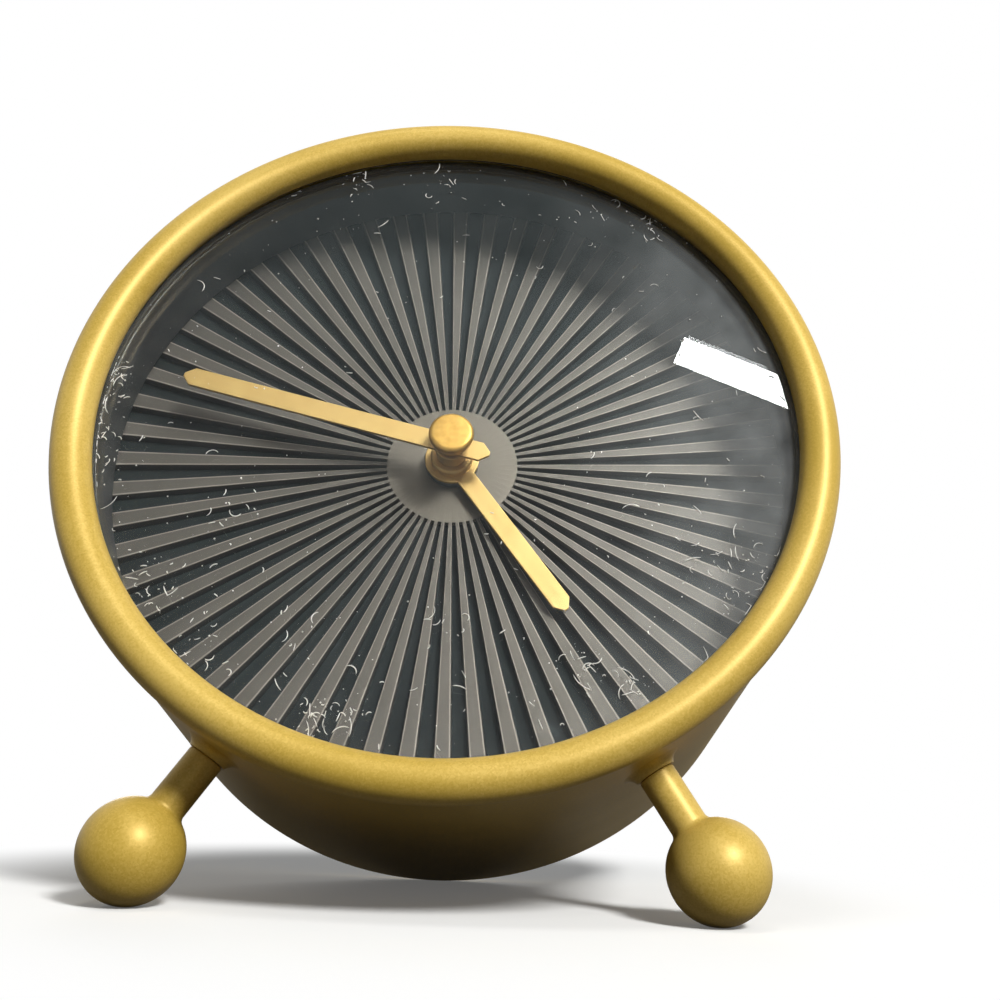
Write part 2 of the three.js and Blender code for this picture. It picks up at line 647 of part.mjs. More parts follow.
// Stem and ball turned in one piece, with a fillet between them and a small flat to stand on
function leg(side) {
  const start = PARTING_RADIUS + GAP / 2;
  const filletDistance = Math.sqrt((BALL_RADIUS + STEM_FILLET) ** 2 - (STEM_RADIUS + STEM_FILLET) ** 2);
  const filletAngle = (Math.atan2(filletDistance, STEM_RADIUS + STEM_FILLET) * 180) / Math.PI;
  const fillet = arc(
    STEM_RADIUS + STEM_FILLET,
    BALL_DISTANCE - filletDistance,
    STEM_FILLET,
    180,
    180 - filletAngle,
    FILLET_STEPS,
  );
  const ball = arc(0, BALL_DISTANCE, BALL_RADIUS, -filletAngle, 90, BALL_STEPS);
  const tip = [0, BALL_DISTANCE + BALL_RADIUS];
  const outline = [[0, start], [STEM_RADIUS, start], ...fillet, ...ball.slice(1, -1), tip];
  const solid = aboutLeg(outline, side, SMALL_SIDES);
  const angle = radians(LEG_ANGLE);
  const reach = 2 * BALL_RADIUS;
  const sole = new THREE.BoxGeometry(2 * reach, reach, 2 * reach)
    .translate(0, -BALL_RADIUS + SOLE_DEPTH - reach / 2, 0)
    .rotateX(lean)
    .translate(side * BALL_DISTANCE * Math.sin(angle), -BALL_DISTANCE * Math.cos(angle), -LEG_DEPTH);
  return cut(solid, sole, studHole(side, start - GAP, start + STUD_IN_LEG + GAP));
}

function legStud(side) {
  const from = PARTING_RADIUS - GAP / 2 - STUD_IN_BOSS;
  const to = PARTING_RADIUS + GAP / 2 + STUD_IN_LEG;
  const outline = [[0, from], [STUD_RADIUS, from], [STUD_RADIUS, to], [0, to]];
  return aboutLeg(outline, side, TINY_SIDES);
}

function glassGasket() {
  const inner = GLASS_RADIUS - GASKET_WIDTH;
  const outline = [
    [inner, GASKET_FRONT],
    [GLASS_RADIUS, GASKET_FRONT],
    [GLASS_RADIUS, GASKET_BACK],
    [inner, GASKET_BACK],
    [inner, GASKET_FRONT],
  ];
  return turned(outline, INNER_RING_SIDES);
}

function spacerRing() {
  const outline = [
    [GLASS_RADIUS - SPACER_FRONT_WALL, SPACER_FRONT],
    [GLASS_RADIUS, SPACER_FRONT],
    [GLASS_RADIUS, SPACER_STEP],
    [FITTED_RADIUS, SPACER_STEP],
    [FITTED_RADIUS, SPACER_BACK],
    [FITTED_RADIUS - SPACER_REAR_WALL, SPACER_BACK],
    [GLASS_RADIUS - SPACER_FRONT_WALL, SPACER_FRONT],
  ];
  return turned(outline, INNER_RING_SIDES);
}

// One rib: a block whose width grows with the radius and narrows towards its top
function rib(index, innerRadius, outerRadius) {
  const pitch = (2 * Math.PI) / RIB_COUNT;
  const geometry = new THREE.BoxGeometry(1, 1, 1);
  const position = geometry.attributes.position;
  for (let i = 0; i < position.count; i += 1) {
    const side = Math.sign(position.getX(i));
    const radius = position.getY(i) > 0 ? outerRadius : innerRadius;
    const top = position.getZ(i) > 0;
    const half = (pitch * (top ? RIB_TOP_SHARE : RIB_BASE_SHARE)) / 2;
    const depth = top ? DIAL_DEPTH : GROOVE_DEPTH + DIAL_PLATE / 2;
    position.setXYZ(i, radius * Math.sin(side * half), radius * Math.cos(side * half), -depth);
  }
  return geometry.rotateZ(radians(DIAL_TURN) - index * pitch);
}

// Ribbed face plate with a flat centre disc, an outer rim and two bosses behind for the movement
function dial() {
  const rimRadius = FITTED_RADIUS - SPACER_REAR_WALL;
  const outline = [
    [POST_RADIUS + GAP, DIAL_DEPTH],
    [DIAL_DISC_RADIUS, DIAL_DEPTH],
    [DIAL_DISC_RADIUS, GROOVE_DEPTH],
    [rimRadius, GROOVE_DEPTH],
    [rimRadius, DIAL_DEPTH],
    [FITTED_RADIUS, DIAL_DEPTH],
    [FITTED_RADIUS, DIAL_BACK],
    [POST_RADIUS + GAP, DIAL_BACK],
    [POST_RADIUS + GAP, DIAL_DEPTH],
  ];
  const ribs = Array.from({ length: RIB_COUNT }, (_, i) =>
    rib(i, DIAL_DISC_RADIUS - RIB_OVERLAP, rimRadius + RIB_OVERLAP),
  );
  const bosses = dialScrewPlaces.map((spot) => pin(DIAL_BOSS_RADIUS, GROOVE_DEPTH + GAP, BOSS_BACK, spot));
  const holes = dialScrewPlaces.map((spot) =>
    pin(SCREW_RADIUS + RUNNING, BOSS_BACK - SCREW_BITE - GAP, BOSS_BACK + GAP, spot),
  );
  return cut(join(turned(outline, RING_SIDES), ...ribs, ...bosses), ...holes);
}

// Hands

// Flat baton along +y with corners cut off its ends
function baton(length, tail, width, front, back) {
  const half = width / 2;
  const chamfer = HAND_TIP_CHAMFER;
  const tailEnd = tail > 0 ? -tail : 0;
  const tailChamfer = tail > 0 ? chamfer : 0;
  const shape = new THREE.Shape([
    new THREE.Vector2(half, tailEnd + tailChamfer),
    new THREE.Vector2(half, length - chamfer),
    new THREE.Vector2(half - chamfer, length),
    new THREE.Vector2(-half + chamfer, length),
    new THREE.Vector2(-half, length - chamfer),
    new THREE.Vector2(-half, tailEnd + tailChamfer),
    new THREE.Vector2(-half + chamfer, tailEnd),
    new THREE.Vector2(half - chamfer, tailEnd),
  ]);
  return plate(shape, front, back);
}

const minuteAngle = (SHOWN_MINUTES / 60) * 2 * Math.PI;
const hourAngle = ((SHOWN_HOURS + SHOWN_MINUTES / 60) / 12) * 2 * Math.PI;

function hourHand() {
  const blade = baton(HOUR_HAND_LENGTH, 0, HOUR_HAND_WIDTH, hourHandFront, hourHandBack);
  const hub = rod(HOUR_HUB_RADIUS, hourHandFront, hourHandBack, SMALL_SIDES);
  const collar = rod(HOUR_COLLAR_RADIUS, hourCollarFront, hourHandFront + HAND_THICKNESS / 2, SMALL_SIDES);
  const hole = rod(HOUR_PIPE_RADIUS + RUNNING, capFront, DIAL_DEPTH, SMALL_SIDES);
  return cut(join(blade, hub, collar), hole).rotateZ(-hourAngle);
}

function minuteHand() {
  const [front, back] = [minuteHandFront, minuteHandBack];
  const blade = baton(MINUTE_HAND_LENGTH, MINUTE_HAND_TAIL, MINUTE_HAND_WIDTH, front, back);
  const collar = rod(MINUTE_COLLAR_RADIUS, minuteHandFront, minuteCollarBack, SMALL_SIDES);
  const hole = pin(MINUTE_PIPE_RADIUS + RUNNING, capFront, DIAL_DEPTH);
  return cut(join(blade, collar), hole).rotateZ(-minuteAngle);
}

// Round-edged cap on a narrow neck, with a blind hole for the minute pipe
function capNut() {
  const round = (CAP_THICKNESS / 2) * CAP_ROUND_SHARE;
  const boreRadius = MINUTE_PIPE_RADIUS + RUNNING;
  const outline = [
    [0, capFront],
    ...arc(CAP_RADIUS - round, capFront + round, round, -90, 0, CAP_ROUND_STEPS),
    ...arc(CAP_RADIUS - round, capBack - round, round, 0, 90, CAP_ROUND_STEPS),
    [CAP_NECK_RADIUS, capBack],
    [CAP_NECK_RADIUS, capNeckBack],
    [boreRadius, capNeckBack],
    [boreRadius, capFront + CAP_TOP_WALL],
    [0, capFront + CAP_TOP_WALL],
  ];
  return turned(outline, SMALL_SIDES);
}

// Motion works

const cannonModule = moduleFor(MOTION_DISTANCE, CANNON_TEETH, MOTION_TEETH);
const hourModule = moduleFor(MOTION_DISTANCE, MOTION_PINION_TEETH, HOUR_TEETH);
const knobModule = moduleFor(KNOB_DISTANCE, KNOB_TEETH, MOTION_TEETH);
const cannonPhase = 0;
const motionPhase = meshedPhase(MOTION_ANGLE, cannonPhase, CANNON_TEETH, MOTION_TEETH);
const hourPhase = 0;
const motionPinionPhase = meshedPhase(MOTION_ANGLE, hourPhase, HOUR_TEETH, MOTION_PINION_TEETH);
const knobPhase = meshedPhase(KNOB_ANGLE, motionPhase, MOTION_TEETH, KNOB_TEETH);

// Pinion, pipe that carries the minute hand and tail that the centre wheel grips
function minutePipe() {
  const pinion = gear(CANNON_TEETH, cannonModule, cannonPhase, CANNON_FRONT, CANNON_BACK, centreAxis);
  const pipe = pin(MINUTE_PIPE_RADIUS, minutePipeFront, CANNON_BACK);
  const tail = pin(MINUTE_TAIL_RADIUS, CANNON_BACK - GAP, PLATE_FRONT - GAP);
  const bore = pin(ARBOR_RADIUS + RUNNING, capFront, PLATE_BACK);
  return cut(join(pinion, pipe, tail), bore);
}

function hourWheel() {
  const wheel = gear(HOUR_TEETH, hourModule, hourPhase, HOUR_WHEEL_FRONT, HOUR_WHEEL_BACK, centreAxis);
  const pipe = rod(HOUR_PIPE_RADIUS, hourCollarFront, HOUR_WHEEL_BACK, SMALL_SIDES);
  const bore = pin(MINUTE_PIPE_RADIUS + RUNNING, capFront, CANNON_BACK);
  return cut(join(wheel, pipe), bore);
}

function motionWheel() {
  const [front, back] = [MOTION_WHEEL_FRONT, MOTION_WHEEL_BACK];
  const wheel = gear(MOTION_TEETH, cannonModule, motionPhase, front, back, motionAxis);
  const pinion = gear(
    MOTION_PINION_TEETH,
    hourModule,
    motionPinionPhase,
    HOUR_WHEEL_FRONT,
    back,
    motionAxis,
  );
  const bore = pin(PIVOT_HOLE, SHELL_FRONT, PLATE_FRONT, motionAxis);
  return cut(join(wheel, pinion), bore);
}

// Knurled knob, its shaft through the cover and housing, and the pinion that turns the motion wheel
function settingKnob() {
  const knobFront = COVER_FLOOR_BACK + GAP;
  const knobBack = knobFront + KNOB_THICKNESS;
  const head = rod(KNOB_RADIUS, knobFront, knobBack, 2 * KNOB_GROOVES, knobAxis);
  const shaft = pin(KNOB_SHAFT_RADIUS, SHELL_FLOOR + GAP, knobFront + GAP, knobAxis);
  const pinion = gear(KNOB_TEETH, knobModule, knobPhase, CANNON_FRONT, CANNON_BACK, knobAxis);
  const bore = pin(PIVOT_HOLE, SHELL_FRONT, CANNON_BACK, knobAxis);
  const grooves = Array.from({ length: KNOB_GROOVES }, (_, i) => {
    const spot = onRay(knobAxis, KNOB_RADIUS, (i * 360) / KNOB_GROOVES);
    return rod(KNOB_GROOVE_RADIUS, knobFront - GAP, knobBack + GAP, GROOVE_SIDES, spot);
  });
  return cut(join(head, shaft, pinion), bore, ...grooves);
}

// Time train

const secondModule = moduleFor(INTERMEDIATE_DISTANCE, INTERMEDIATE_PINION_TEETH, SECOND_TEETH);
const thirdModule = moduleFor(THIRD_DISTANCE, SECOND_PINION_TEETH, THIRD_TEETH);
const centreModule = moduleFor(THIRD_DISTANCE, THIRD_PINION_TEETH, CENTRE_TEETH);
const rotorModule = moduleFor(ROTOR_DISTANCE, ROTOR_TEETH, INTERMEDIATE_TEETH);
const centrePhase = 0;
const thirdPinionPhase = meshedPhase(THIRD_ANGLE, centrePhase, CENTRE_TEETH, THIRD_PINION_TEETH);
const secondPinionPhase = 0;
const thirdPhase = meshedPhase(THIRD_ANGLE, secondPinionPhase, SECOND_PINION_TEETH, THIRD_TEETH);
const secondPhase = 0;
const intermediatePinionPhase = meshedPhase(
  INTERMEDIATE_ANGLE,
  secondPhase,
  SECOND_TEETH,
  INTERMEDIATE_PINION_TEETH,
);
const intermediatePhase = 0;
const rotorPhase = meshedPhase(ROTOR_ANGLE, intermediatePhase, INTERMEDIATE_TEETH, ROTOR_TEETH);
const arborBack = BRIDGE_BACK - GAP;

function centreWheel() {
  const [front, back] = [CENTRE_WHEEL_FRONT, CENTRE_WHEEL_BACK];
  const wheel = gear(CENTRE_TEETH, centreModule, centrePhase, front, back, centreAxis);
  return cut(wheel, pin(MINUTE_TAIL_RADIUS + RUNNING, CANNON_FRONT, PLATE_BACK));
}

function thirdWheel() {
  const wheel = gear(THIRD_TEETH, thirdModule, thirdPhase, THIRD_WHEEL_FRONT, THIRD_WHEEL_BACK, thirdAxis);
  const pinion = gear(
    THIRD_PINION_TEETH,
    centreModule,
    thirdPinionPhase,
    CENTRE_WHEEL_FRONT - PINION_EXTRA,
    CENTRE_WHEEL_BACK + PINION_EXTRA,
    thirdAxis,
  );
  const arbor = pin(ARBOR_RADIUS, SHELL_FLOOR + PIVOT_BOSS_HEIGHT / 2, arborBack, thirdAxis);
  return join(arbor, wheel, pinion);
}

function secondWheel() {
  const [front, back] = [SECOND_WHEEL_FRONT, SECOND_WHEEL_BACK];
  const wheel = gear(SECOND_TEETH, secondModule, secondPhase, front, back, centreAxis);
  const pinion = gear(
    SECOND_PINION_TEETH,
    thirdModule,
    secondPinionPhase,
    THIRD_WHEEL_FRONT - PINION_EXTRA,
    THIRD_WHEEL_BACK + PINION_EXTRA,
    centreAxis,
  );
  const arbor = pin(ARBOR_RADIUS, minuteHandFront, arborBack);
  return join(arbor, wheel, pinion);
}

function intermediateWheel() {
  const wheel = gear(
    INTERMEDIATE_TEETH,
    rotorModule,
    intermediatePhase,
    INTERMEDIATE_WHEEL_FRONT,
    INTERMEDIATE_WHEEL_BACK,
    intermediateAxis,
  );
  const pinion = gear(
    INTERMEDIATE_PINION_TEETH,
    secondModule,
    intermediatePinionPhase,
    SECOND_WHEEL_FRONT - PINION_EXTRA,
    SECOND_WHEEL_BACK + PINION_EXTRA,
    intermediateAxis,
  );
  const arbor = pin(ARBOR_RADIUS, PLATE_FRONT + GAP, arborBack, intermediateAxis);
  return join(arbor, wheel, pinion);
}

function rotor() {
  const magnet = rod(MAGNET_RADIUS, MAGNET_FRONT, MAGNET_BACK, SMALL_SIDES, rotorAxis);
  const pinion = gear(
    ROTOR_TEETH,
    rotorModule,
    rotorPhase,
    INTERMEDIATE_WHEEL_FRONT - PINION_EXTRA,
    INTERMEDIATE_WHEEL_BACK + PINION_EXTRA,
    rotorAxis,
  );
  const arbor = pin(ARBOR_RADIUS, PLATE_FRONT + GAP, arborBack, rotorAxis);
  return join(arbor, magnet, pinion);
}

// Movement housing

function partition(front, back) {
  const half = contactInner - GAP;
  return block(-half, half, partitionLow, partitionHigh, front, back);
}

// Front half: face with the post, walls, battery partition, arbor bosses and two fixing ears
function movementFrontShell() {
  const outside = housingPlate(HOUSING_WALL, SHELL_FRONT, SHELL_SPLIT);
  const shell = cut(outside, housingPlate(0, SHELL_FLOOR, SHELL_SPLIT + GAP));
  const post = rod(POST_RADIUS, DIAL_DEPTH - POST_LIFT, SHELL_FLOOR, SMALL_SIDES);
  const wall = partition(SHELL_FLOOR - GAP, PLATE_FRONT - GAP);
  const pillars = pillarPlaces.map((spot) => pin(PILLAR_RADIUS, SHELL_FLOOR - GAP, PLATE_FRONT - GAP, spot));
  const thirdBoss = pin(PIVOT_BOSS_RADIUS, SHELL_FLOOR - GAP, SHELL_FLOOR + PIVOT_BOSS_HEIGHT, thirdAxis);
  const motionPin = through(ARBOR_RADIUS, SHELL_FLOOR, MOTION_WHEEL_BACK, motionAxis);
  const knobPin = pin(ARBOR_RADIUS, SHELL_FLOOR - GAP, CANNON_BACK - GAP, knobAxis);
  const ears = dialScrewPlaces.map((spot) => {
    const side = Math.sign(spot.x);
    const [inner, outer] = [side * (housingHalf - HOUSING_WALL / 2), side * (housingHalf + EAR_REACH)];
    const [left, right] = [Math.min(inner, outer), Math.max(inner, outer)];
    return block(left, right, -EAR_HALF_WIDTH, EAR_HALF_WIDTH, EAR_FRONT, EAR_BACK);
  });
  const body = join(shell, post, wall, ...pillars, thirdBoss, motionPin, knobPin, ...ears);
  const bore = rod(POST_BORE, hourCollarFront, SHELL_FLOOR + GAP, SMALL_SIDES);
  const pillarHoles = pillarPlaces.map((spot) =>
    pin(SCREW_RADIUS + RUNNING, PLATE_FRONT - GAP - SCREW_BITE - GAP, PLATE_FRONT, spot),
  );
  const pivot = SHELL_FLOOR + PIVOT_BOSS_HEIGHT / 2 - GAP;
  const thirdPivot = pin(PIVOT_HOLE, pivot, SHELL_FLOOR + PIVOT_BOSS_HEIGHT + GAP, thirdAxis);
  const earHoles = dialScrewPlaces.map((spot) =>
    through(SCREW_RADIUS + RUNNING, EAR_FRONT, EAR_BACK, spot),
  );
  return cut(body, bore, ...pillarHoles, thirdPivot, ...earHoles);
}

// Rear half: back, walls, battery window, screw pillars and the hole for the knob's shaft
function movementRearShell() {
  const front = SHELL_SPLIT + GAP;
  const outside = housingPlate(HOUSING_WALL, front, SHELL_BACK);
  const shell = cut(outside, housingPlate(0, front - GAP, REAR_SHELL_FLOOR));
  const wall = partition(front, REAR_SHELL_FLOOR + GAP);
  const pillarFront = PLATE_BACK + GAP;
  const pillars = pillarPlaces.map((spot) => pin(PILLAR_RADIUS, pillarFront, REAR_SHELL_FLOOR + GAP, spot));
  const batteryWindow = block(
    -cavityHalf,
    cavityHalf,
    batteryY - BATTERY_RADIUS - GAP / 2,
    partitionLow,
    REAR_SHELL_FLOOR - GAP,
    SHELL_BACK + GAP,
  );
  const shaftHole = through(KNOB_SHAFT_RADIUS + RUNNING, REAR_SHELL_FLOOR, SHELL_BACK, knobAxis);
  const screwHoles = pillarPlaces.map((spot) =>
    through(SCREW_RADIUS + RUNNING, pillarFront, SHELL_BACK, spot),
  );
  const headHoles = pillarPlaces.map((spot) =>
    through(SCREW_HEAD_RADIUS + RUNNING, movementScrewSeat, SHELL_BACK, spot),
  );
  return cut(join(shell, wall, ...pillars), batteryWindow, shaftHole, ...screwHoles, ...headHoles);
}
const movementScrewSeat = SHELL_BACK - GAP - SCREW_HEAD_THICKNESS;

// Plate between the motion works and the train, with the pillars that carry the bridge
function trainPlate() {
  const edge = contactInner - GAP;
  const outline = housingPlate(edge - cavityHalf, PLATE_FRONT, PLATE_BACK);
  const sheet = common(outline, block(-edge, edge, partitionHigh + GAP, cavityHigh, PLATE_FRONT, PLATE_BACK));
  const pillars = bridgePillars.map((spot) =>
    pin(BRIDGE_PILLAR_RADIUS, PLATE_FRONT + GAP, BRIDGE_FRONT - GAP, spot),
  );
  const holes = [centreAxis, thirdAxis, intermediateAxis, rotorAxis].map((spot) =>
    through(PIVOT_HOLE, PLATE_FRONT, PLATE_BACK, spot),
  );
  const shaftHole = through(KNOB_SHAFT_RADIUS + RUNNING, PLATE_FRONT, PLATE_BACK, knobAxis);
  const screwHoles = pillarPlaces.map((spot) =>
    through(SCREW_RADIUS + RUNNING, PLATE_FRONT, PLATE_BACK, spot),
  );
  const coilWindow = block(
    bobbinLeft - GAP,
    bobbinRight + GAP,
    coreY - BOBBIN_FLANGE_RADIUS - GAP,
    coreY + BOBBIN_FLANGE_RADIUS + GAP,
    PLATE_FRONT - GAP,
    PLATE_BACK + GAP,
  );
  return cut(join(sheet, ...pillars), ...holes, shaftHole, ...screwHoles, coilWindow);
}

function trainBridge() {
  const spots = [...bridgePillars, rotorAxis, thirdAxis, centreAxis, intermediateAxis];
  const margin = BRIDGE_PILLAR_RADIUS + GAP;
  const xs = spots.map((spot) => spot.x);
  const ys = spots.map((spot) => spot.y);
  const sheet = block(
    Math.min(...xs) - margin,
    Math.max(...xs) + margin,
    Math.min(...ys) - margin,
    Math.max(...ys) + margin,
    BRIDGE_FRONT,
    BRIDGE_BACK,
  );
  const holes = [centreAxis, thirdAxis, intermediateAxis, rotorAxis].map((spot) =>
    through(PIVOT_HOLE, BRIDGE_FRONT, BRIDGE_BACK, spot),
  );
  return cut(sheet, ...holes);
}

// Stepping motor and circuit

function stator() {
  const ringRadius = MAGNET_RADIUS + STATOR_AIR + STATOR_RING_WIDTH;
  const eye = rod(ringRadius, STATOR_FRONT, STATOR_BACK, SMALL_SIDES, rotorAxis);
  const barLow = rotorAxis.y + STATOR_BAR_RISE;
  const barHigh = barLow + STATOR_BAR_WIDTH;
  const bar = block(statorLeft, statorRight, barLow, barHigh, STATOR_FRONT, STATOR_BACK);
  const armTop = coreY + CORE_HEIGHT / 2;
  const leftArm = block(statorLeft, bobbinLeft, barLow, armTop, STATOR_FRONT, STATOR_BACK);
  const rightArm = block(bobbinRight, statorRight, barLow, armTop, STATOR_FRONT, STATOR_BACK);
  const hole = rod(MAGNET_RADIUS + STATOR_AIR, STATOR_FRONT - GAP, STATOR_BACK + GAP, SMALL_SIDES, rotorAxis);
  return cut(join(bar, leftArm, rightArm, eye), hole);
}

function coilCore() {
  const half = CORE_HEIGHT / 2;
  return block(statorLeft, statorRight, coreY - half, coreY + half, CORE_FRONT, CORE_BACK);
}

// Round solid about the coil's axis, from [radius, x] corners
function aboutCoil(outline) {
  const points = outline.map(([radius, x]) => new THREE.Vector2(radius, x));
  return new THREE.LatheGeometry(points, SMALL_SIDES).rotateZ(-Math.PI / 2).translate(0, coreY, -CORE_DEPTH);
}

function coilBobbin() {
  const spool = aboutCoil([
    [0, bobbinLeft],
    [BOBBIN_FLANGE_RADIUS, bobbinLeft],
    [BOBBIN_FLANGE_RADIUS, bobbinLeft + BOBBIN_FLANGE_THICKNESS],
    [BOBBIN_TUBE_RADIUS, bobbinLeft + BOBBIN_FLANGE_THICKNESS],
    [BOBBIN_TUBE_RADIUS, bobbinRight - BOBBIN_FLANGE_THICKNESS],
    [BOBBIN_FLANGE_RADIUS, bobbinRight - BOBBIN_FLANGE_THICKNESS],
    [BOBBIN_FLANGE_RADIUS, bobbinRight],
    [0, bobbinRight],
  ]);
  const half = CORE_HEIGHT / 2 + GAP;
  const [low, high] = [coreY - half, coreY + half];
  const slot = block(statorLeft, statorRight, low, high, CORE_FRONT - GAP, CORE_BACK + GAP);
  return cut(spool, slot);
}

function coilWinding() {
  const left = bobbinLeft + BOBBIN_FLANGE_THICKNESS + GAP;
  const right = bobbinRight - BOBBIN_FLANGE_THICKNESS - GAP;
  const inner = BOBBIN_TUBE_RADIUS + GAP;
  return aboutCoil([
    [inner, left],
    [WINDING_RADIUS, left],
    [WINDING_RADIUS, right],
    [inner, right],
    [inner, left],
  ]);
}

const boardFront = PLATE_BACK + GAP;
const boardBack = boardFront + BOARD_THICKNESS;
const boardLeft = pillarPlaces[0].x + PILLAR_RADIUS + GAP;
const boardRight = statorLeft - BOARD_TO_STATOR;
const boardLow = bridgePillars[2].y + BRIDGE_PILLAR_RADIUS + BOARD_TO_PILLAR;
const boardHigh = cavityHigh - 2 * GAP - CONTACT_THICKNESS;
const tabHigh = pillarPlaces[0].y - PILLAR_RADIUS - GAP;

// Board beside a screw pillar, with a tab below the pillar that meets the battery's contact
function circuitBoard() {
  const main = block(boardLeft, boardRight, boardLow, boardHigh, boardFront, boardBack);
  const tab = block(-contactInner + GAP, boardLeft + GAP, boardLow, tabHigh, boardFront, boardBack);
  return join(main, tab);
}

function controlChip() {
  const x = (boardLeft + boardRight) / 2;
  const y = boardLow + CHIP_SIZE;
  const half = CHIP_SIZE / 2;
  const front = boardBack + GAP;
  return block(x - half, x + half, y - half, y + half, front, front + CHIP_THICKNESS);
}

function quartzCrystal() {
  const x = (boardLeft + boardRight) / 2;
  const y = boardHigh - 2 * CRYSTAL_RADIUS;
  const can = new THREE.CylinderGeometry(CRYSTAL_RADIUS, CRYSTAL_RADIUS, CRYSTAL_LENGTH, TINY_SIDES);
  return can.rotateZ(Math.PI / 2).translate(x, y, -(boardBack + GAP + CRYSTAL_RADIUS));
}

// Battery

const batteryLeft = -(BATTERY_LENGTH + BATTERY_NUB_LENGTH) / 2;

function battery() {
  const right = batteryLeft + BATTERY_LENGTH;
  const points = [
    [0, batteryLeft],
    [BATTERY_RADIUS, batteryLeft],
    [BATTERY_RADIUS, right],
    [BATTERY_NUB_RADIUS, right],
    [BATTERY_NUB_RADIUS, right + BATTERY_NUB_LENGTH],
    [0, right + BATTERY_NUB_LENGTH],
  ].map(([radius, x]) => new THREE.Vector2(radius, x));
  const can = new THREE.LatheGeometry(points, SMALL_SIDES);
  return can.rotateZ(-Math.PI / 2).translate(0, batteryY, -BATTERY_DEPTH);
}

// Strip along a side wall of the housing, past the partition's end, with a bump towards the battery
const contactFront = BATTERY_DEPTH - CONTACT_WIDTH / 2;
const contactBack = BATTERY_DEPTH + CONTACT_WIDTH / 2;

// The part of a spring-steel band round the housing's inside that lies between the given sides
function contactStrip(left, right, top) {
  const band = cut(
    housingPlate(-GAP, contactFront, contactBack),
    housingPlate(contactInner - cavityHalf, contactFront - GAP, contactBack + GAP),
  );
  return common(band, block(left, right, batteryY - BATTERY_RADIUS / 2, top, contactFront, contactBack));
}

// Tapered bump from the strip's middle to just short of the battery's end
function contactBump(side, batteryEnd) {
  const start = contactInner + CONTACT_THICKNESS / 2;
  const length = start - batteryEnd - GAP;
  const bump = new THREE.CylinderGeometry(BUMP_TIP_RADIUS, BUMP_BASE_RADIUS, length, TINY_SIDES);
  return bump.rotateZ((side * Math.PI) / 2).translate(side * (start - length / 2), batteryY, -BATTERY_DEPTH);
}

// The plus contact runs up the side wall and along the top one to the circuit board.
function contactPlus() {
  const batteryEnd = batteryLeft + BATTERY_LENGTH + BATTERY_NUB_LENGTH;
  return join(contactStrip(boardRight - CONTACT_LAP, cavityHalf, cavityHigh), contactBump(1, batteryEnd));
}

function contactMinus() {
  return join(contactStrip(-cavityHalf, 0, tabHigh), contactBump(-1, -batteryLeft));
}

// Back cover and door

function coverScrewHole(spot) {
  const coneDepth = COVER_SCREW_HEAD_RADIUS - COVER_SCREW_RADIUS;
  const widened = RUNNING;
  const cone = new THREE.CylinderGeometry(
    COVER_SCREW_RADIUS + widened,
    COVER_SCREW_HEAD_RADIUS + widened,
    coneDepth,
    TINY_SIDES,
  );
  const head = cone.rotateX(Math.PI / 2).translate(spot.x, spot.y, -(COVER_FLANGE_BACK - coneDepth / 2));
  const shank = pin(COVER_SCREW_RADIUS + widened, COVER_FLANGE_FRONT - GAP, COVER_FLANGE_BACK, spot);
  return join(head, shank);
}

// Round plate with a tub behind the movement, a window for the battery door with sockets for its
// pins, and the knob's hole
function backCover() {
  const tubMargin = HOUSING_WALL + RECESS_MARGIN;
  const round = rod(FITTED_RADIUS, COVER_FLANGE_FRONT, COVER_FLANGE_BACK, INNER_RING_SIDES);
  const tub = housingPlate(tubMargin + COVER_WALL, COVER_FLOOR_FRONT, COVER_FLANGE_BACK);
  const recess = housingPlate(tubMargin, COVER_FLOOR_BACK, COVER_FLANGE_BACK + GAP);
  const half = doorHalf + GAP;
  const [front, back] = [COVER_FLOOR_FRONT - GAP, COVER_FLOOR_BACK + GAP];
  const doorWindow = block(-half, half, doorLow - GAP, doorHigh + GAP, front, back);
  const notch = rod(
    DOOR_NOTCH_RADIUS,
    COVER_FLOOR_BACK - DOOR_NOTCH_DEPTH,
    COVER_FLOOR_BACK + GAP,
    SMALL_SIDES,
    new THREE.Vector2(0, doorHigh),
  );
  const socketHalf = doorHalf + DOOR_PIN_LENGTH + GAP;
  const sockets = new THREE.CylinderGeometry(
    DOOR_PIN_RADIUS + RUNNING,
    DOOR_PIN_RADIUS + RUNNING,
    2 * socketHalf,
    TINY_SIDES,
  )
    .rotateZ(Math.PI / 2)
    .translate(0, hingeY, -hingeDepth);
  const shaftHole = rod(KNOB_SHAFT_HOLE, front, back, SMALL_SIDES, knobAxis);
  const screwHoles = coverScrewPlaces.map(coverScrewHole);
  return cut(join(round, tub), recess, doorWindow, notch, sockets, shaftHole, ...screwHoles);
}

// Flat door with a rounded hinge edge and a pin at each end of it
function batteryDoor() {
  const panel = block(-doorHalf, doorHalf, hingeY, doorHigh, doorFront, COVER_FLOOR_BACK);
  const barrelRadius = DOOR_THICKNESS / 2;
  const lying = (radius, length, sides) => {
    const upright = new THREE.CylinderGeometry(radius, radius, length, sides);
    return upright.rotateZ(Math.PI / 2).translate(0, hingeY, -hingeDepth);
  };
  const barrel = lying(barrelRadius, 2 * doorHalf, SMALL_SIDES);
  const pins = lying(DOOR_PIN_RADIUS, 2 * (doorHalf + DOOR_PIN_LENGTH), TINY_SIDES);
  return join(panel, barrel, pins);
}

// Screws

function crossSlot(spot, back, headRadius) {
  const half = SCREW_SLOT_WIDTH / 2;
  const reach = headRadius * SCREW_SLOT_SHARE;
  const front = back - SCREW_SLOT_DEPTH;
  const across = block(-reach, reach, -half, half, front, back + GAP);
  const upright = block(-half, half, -reach, reach, front, back + GAP);
  return join(across, upright).translate(spot.x, spot.y, 0);
}

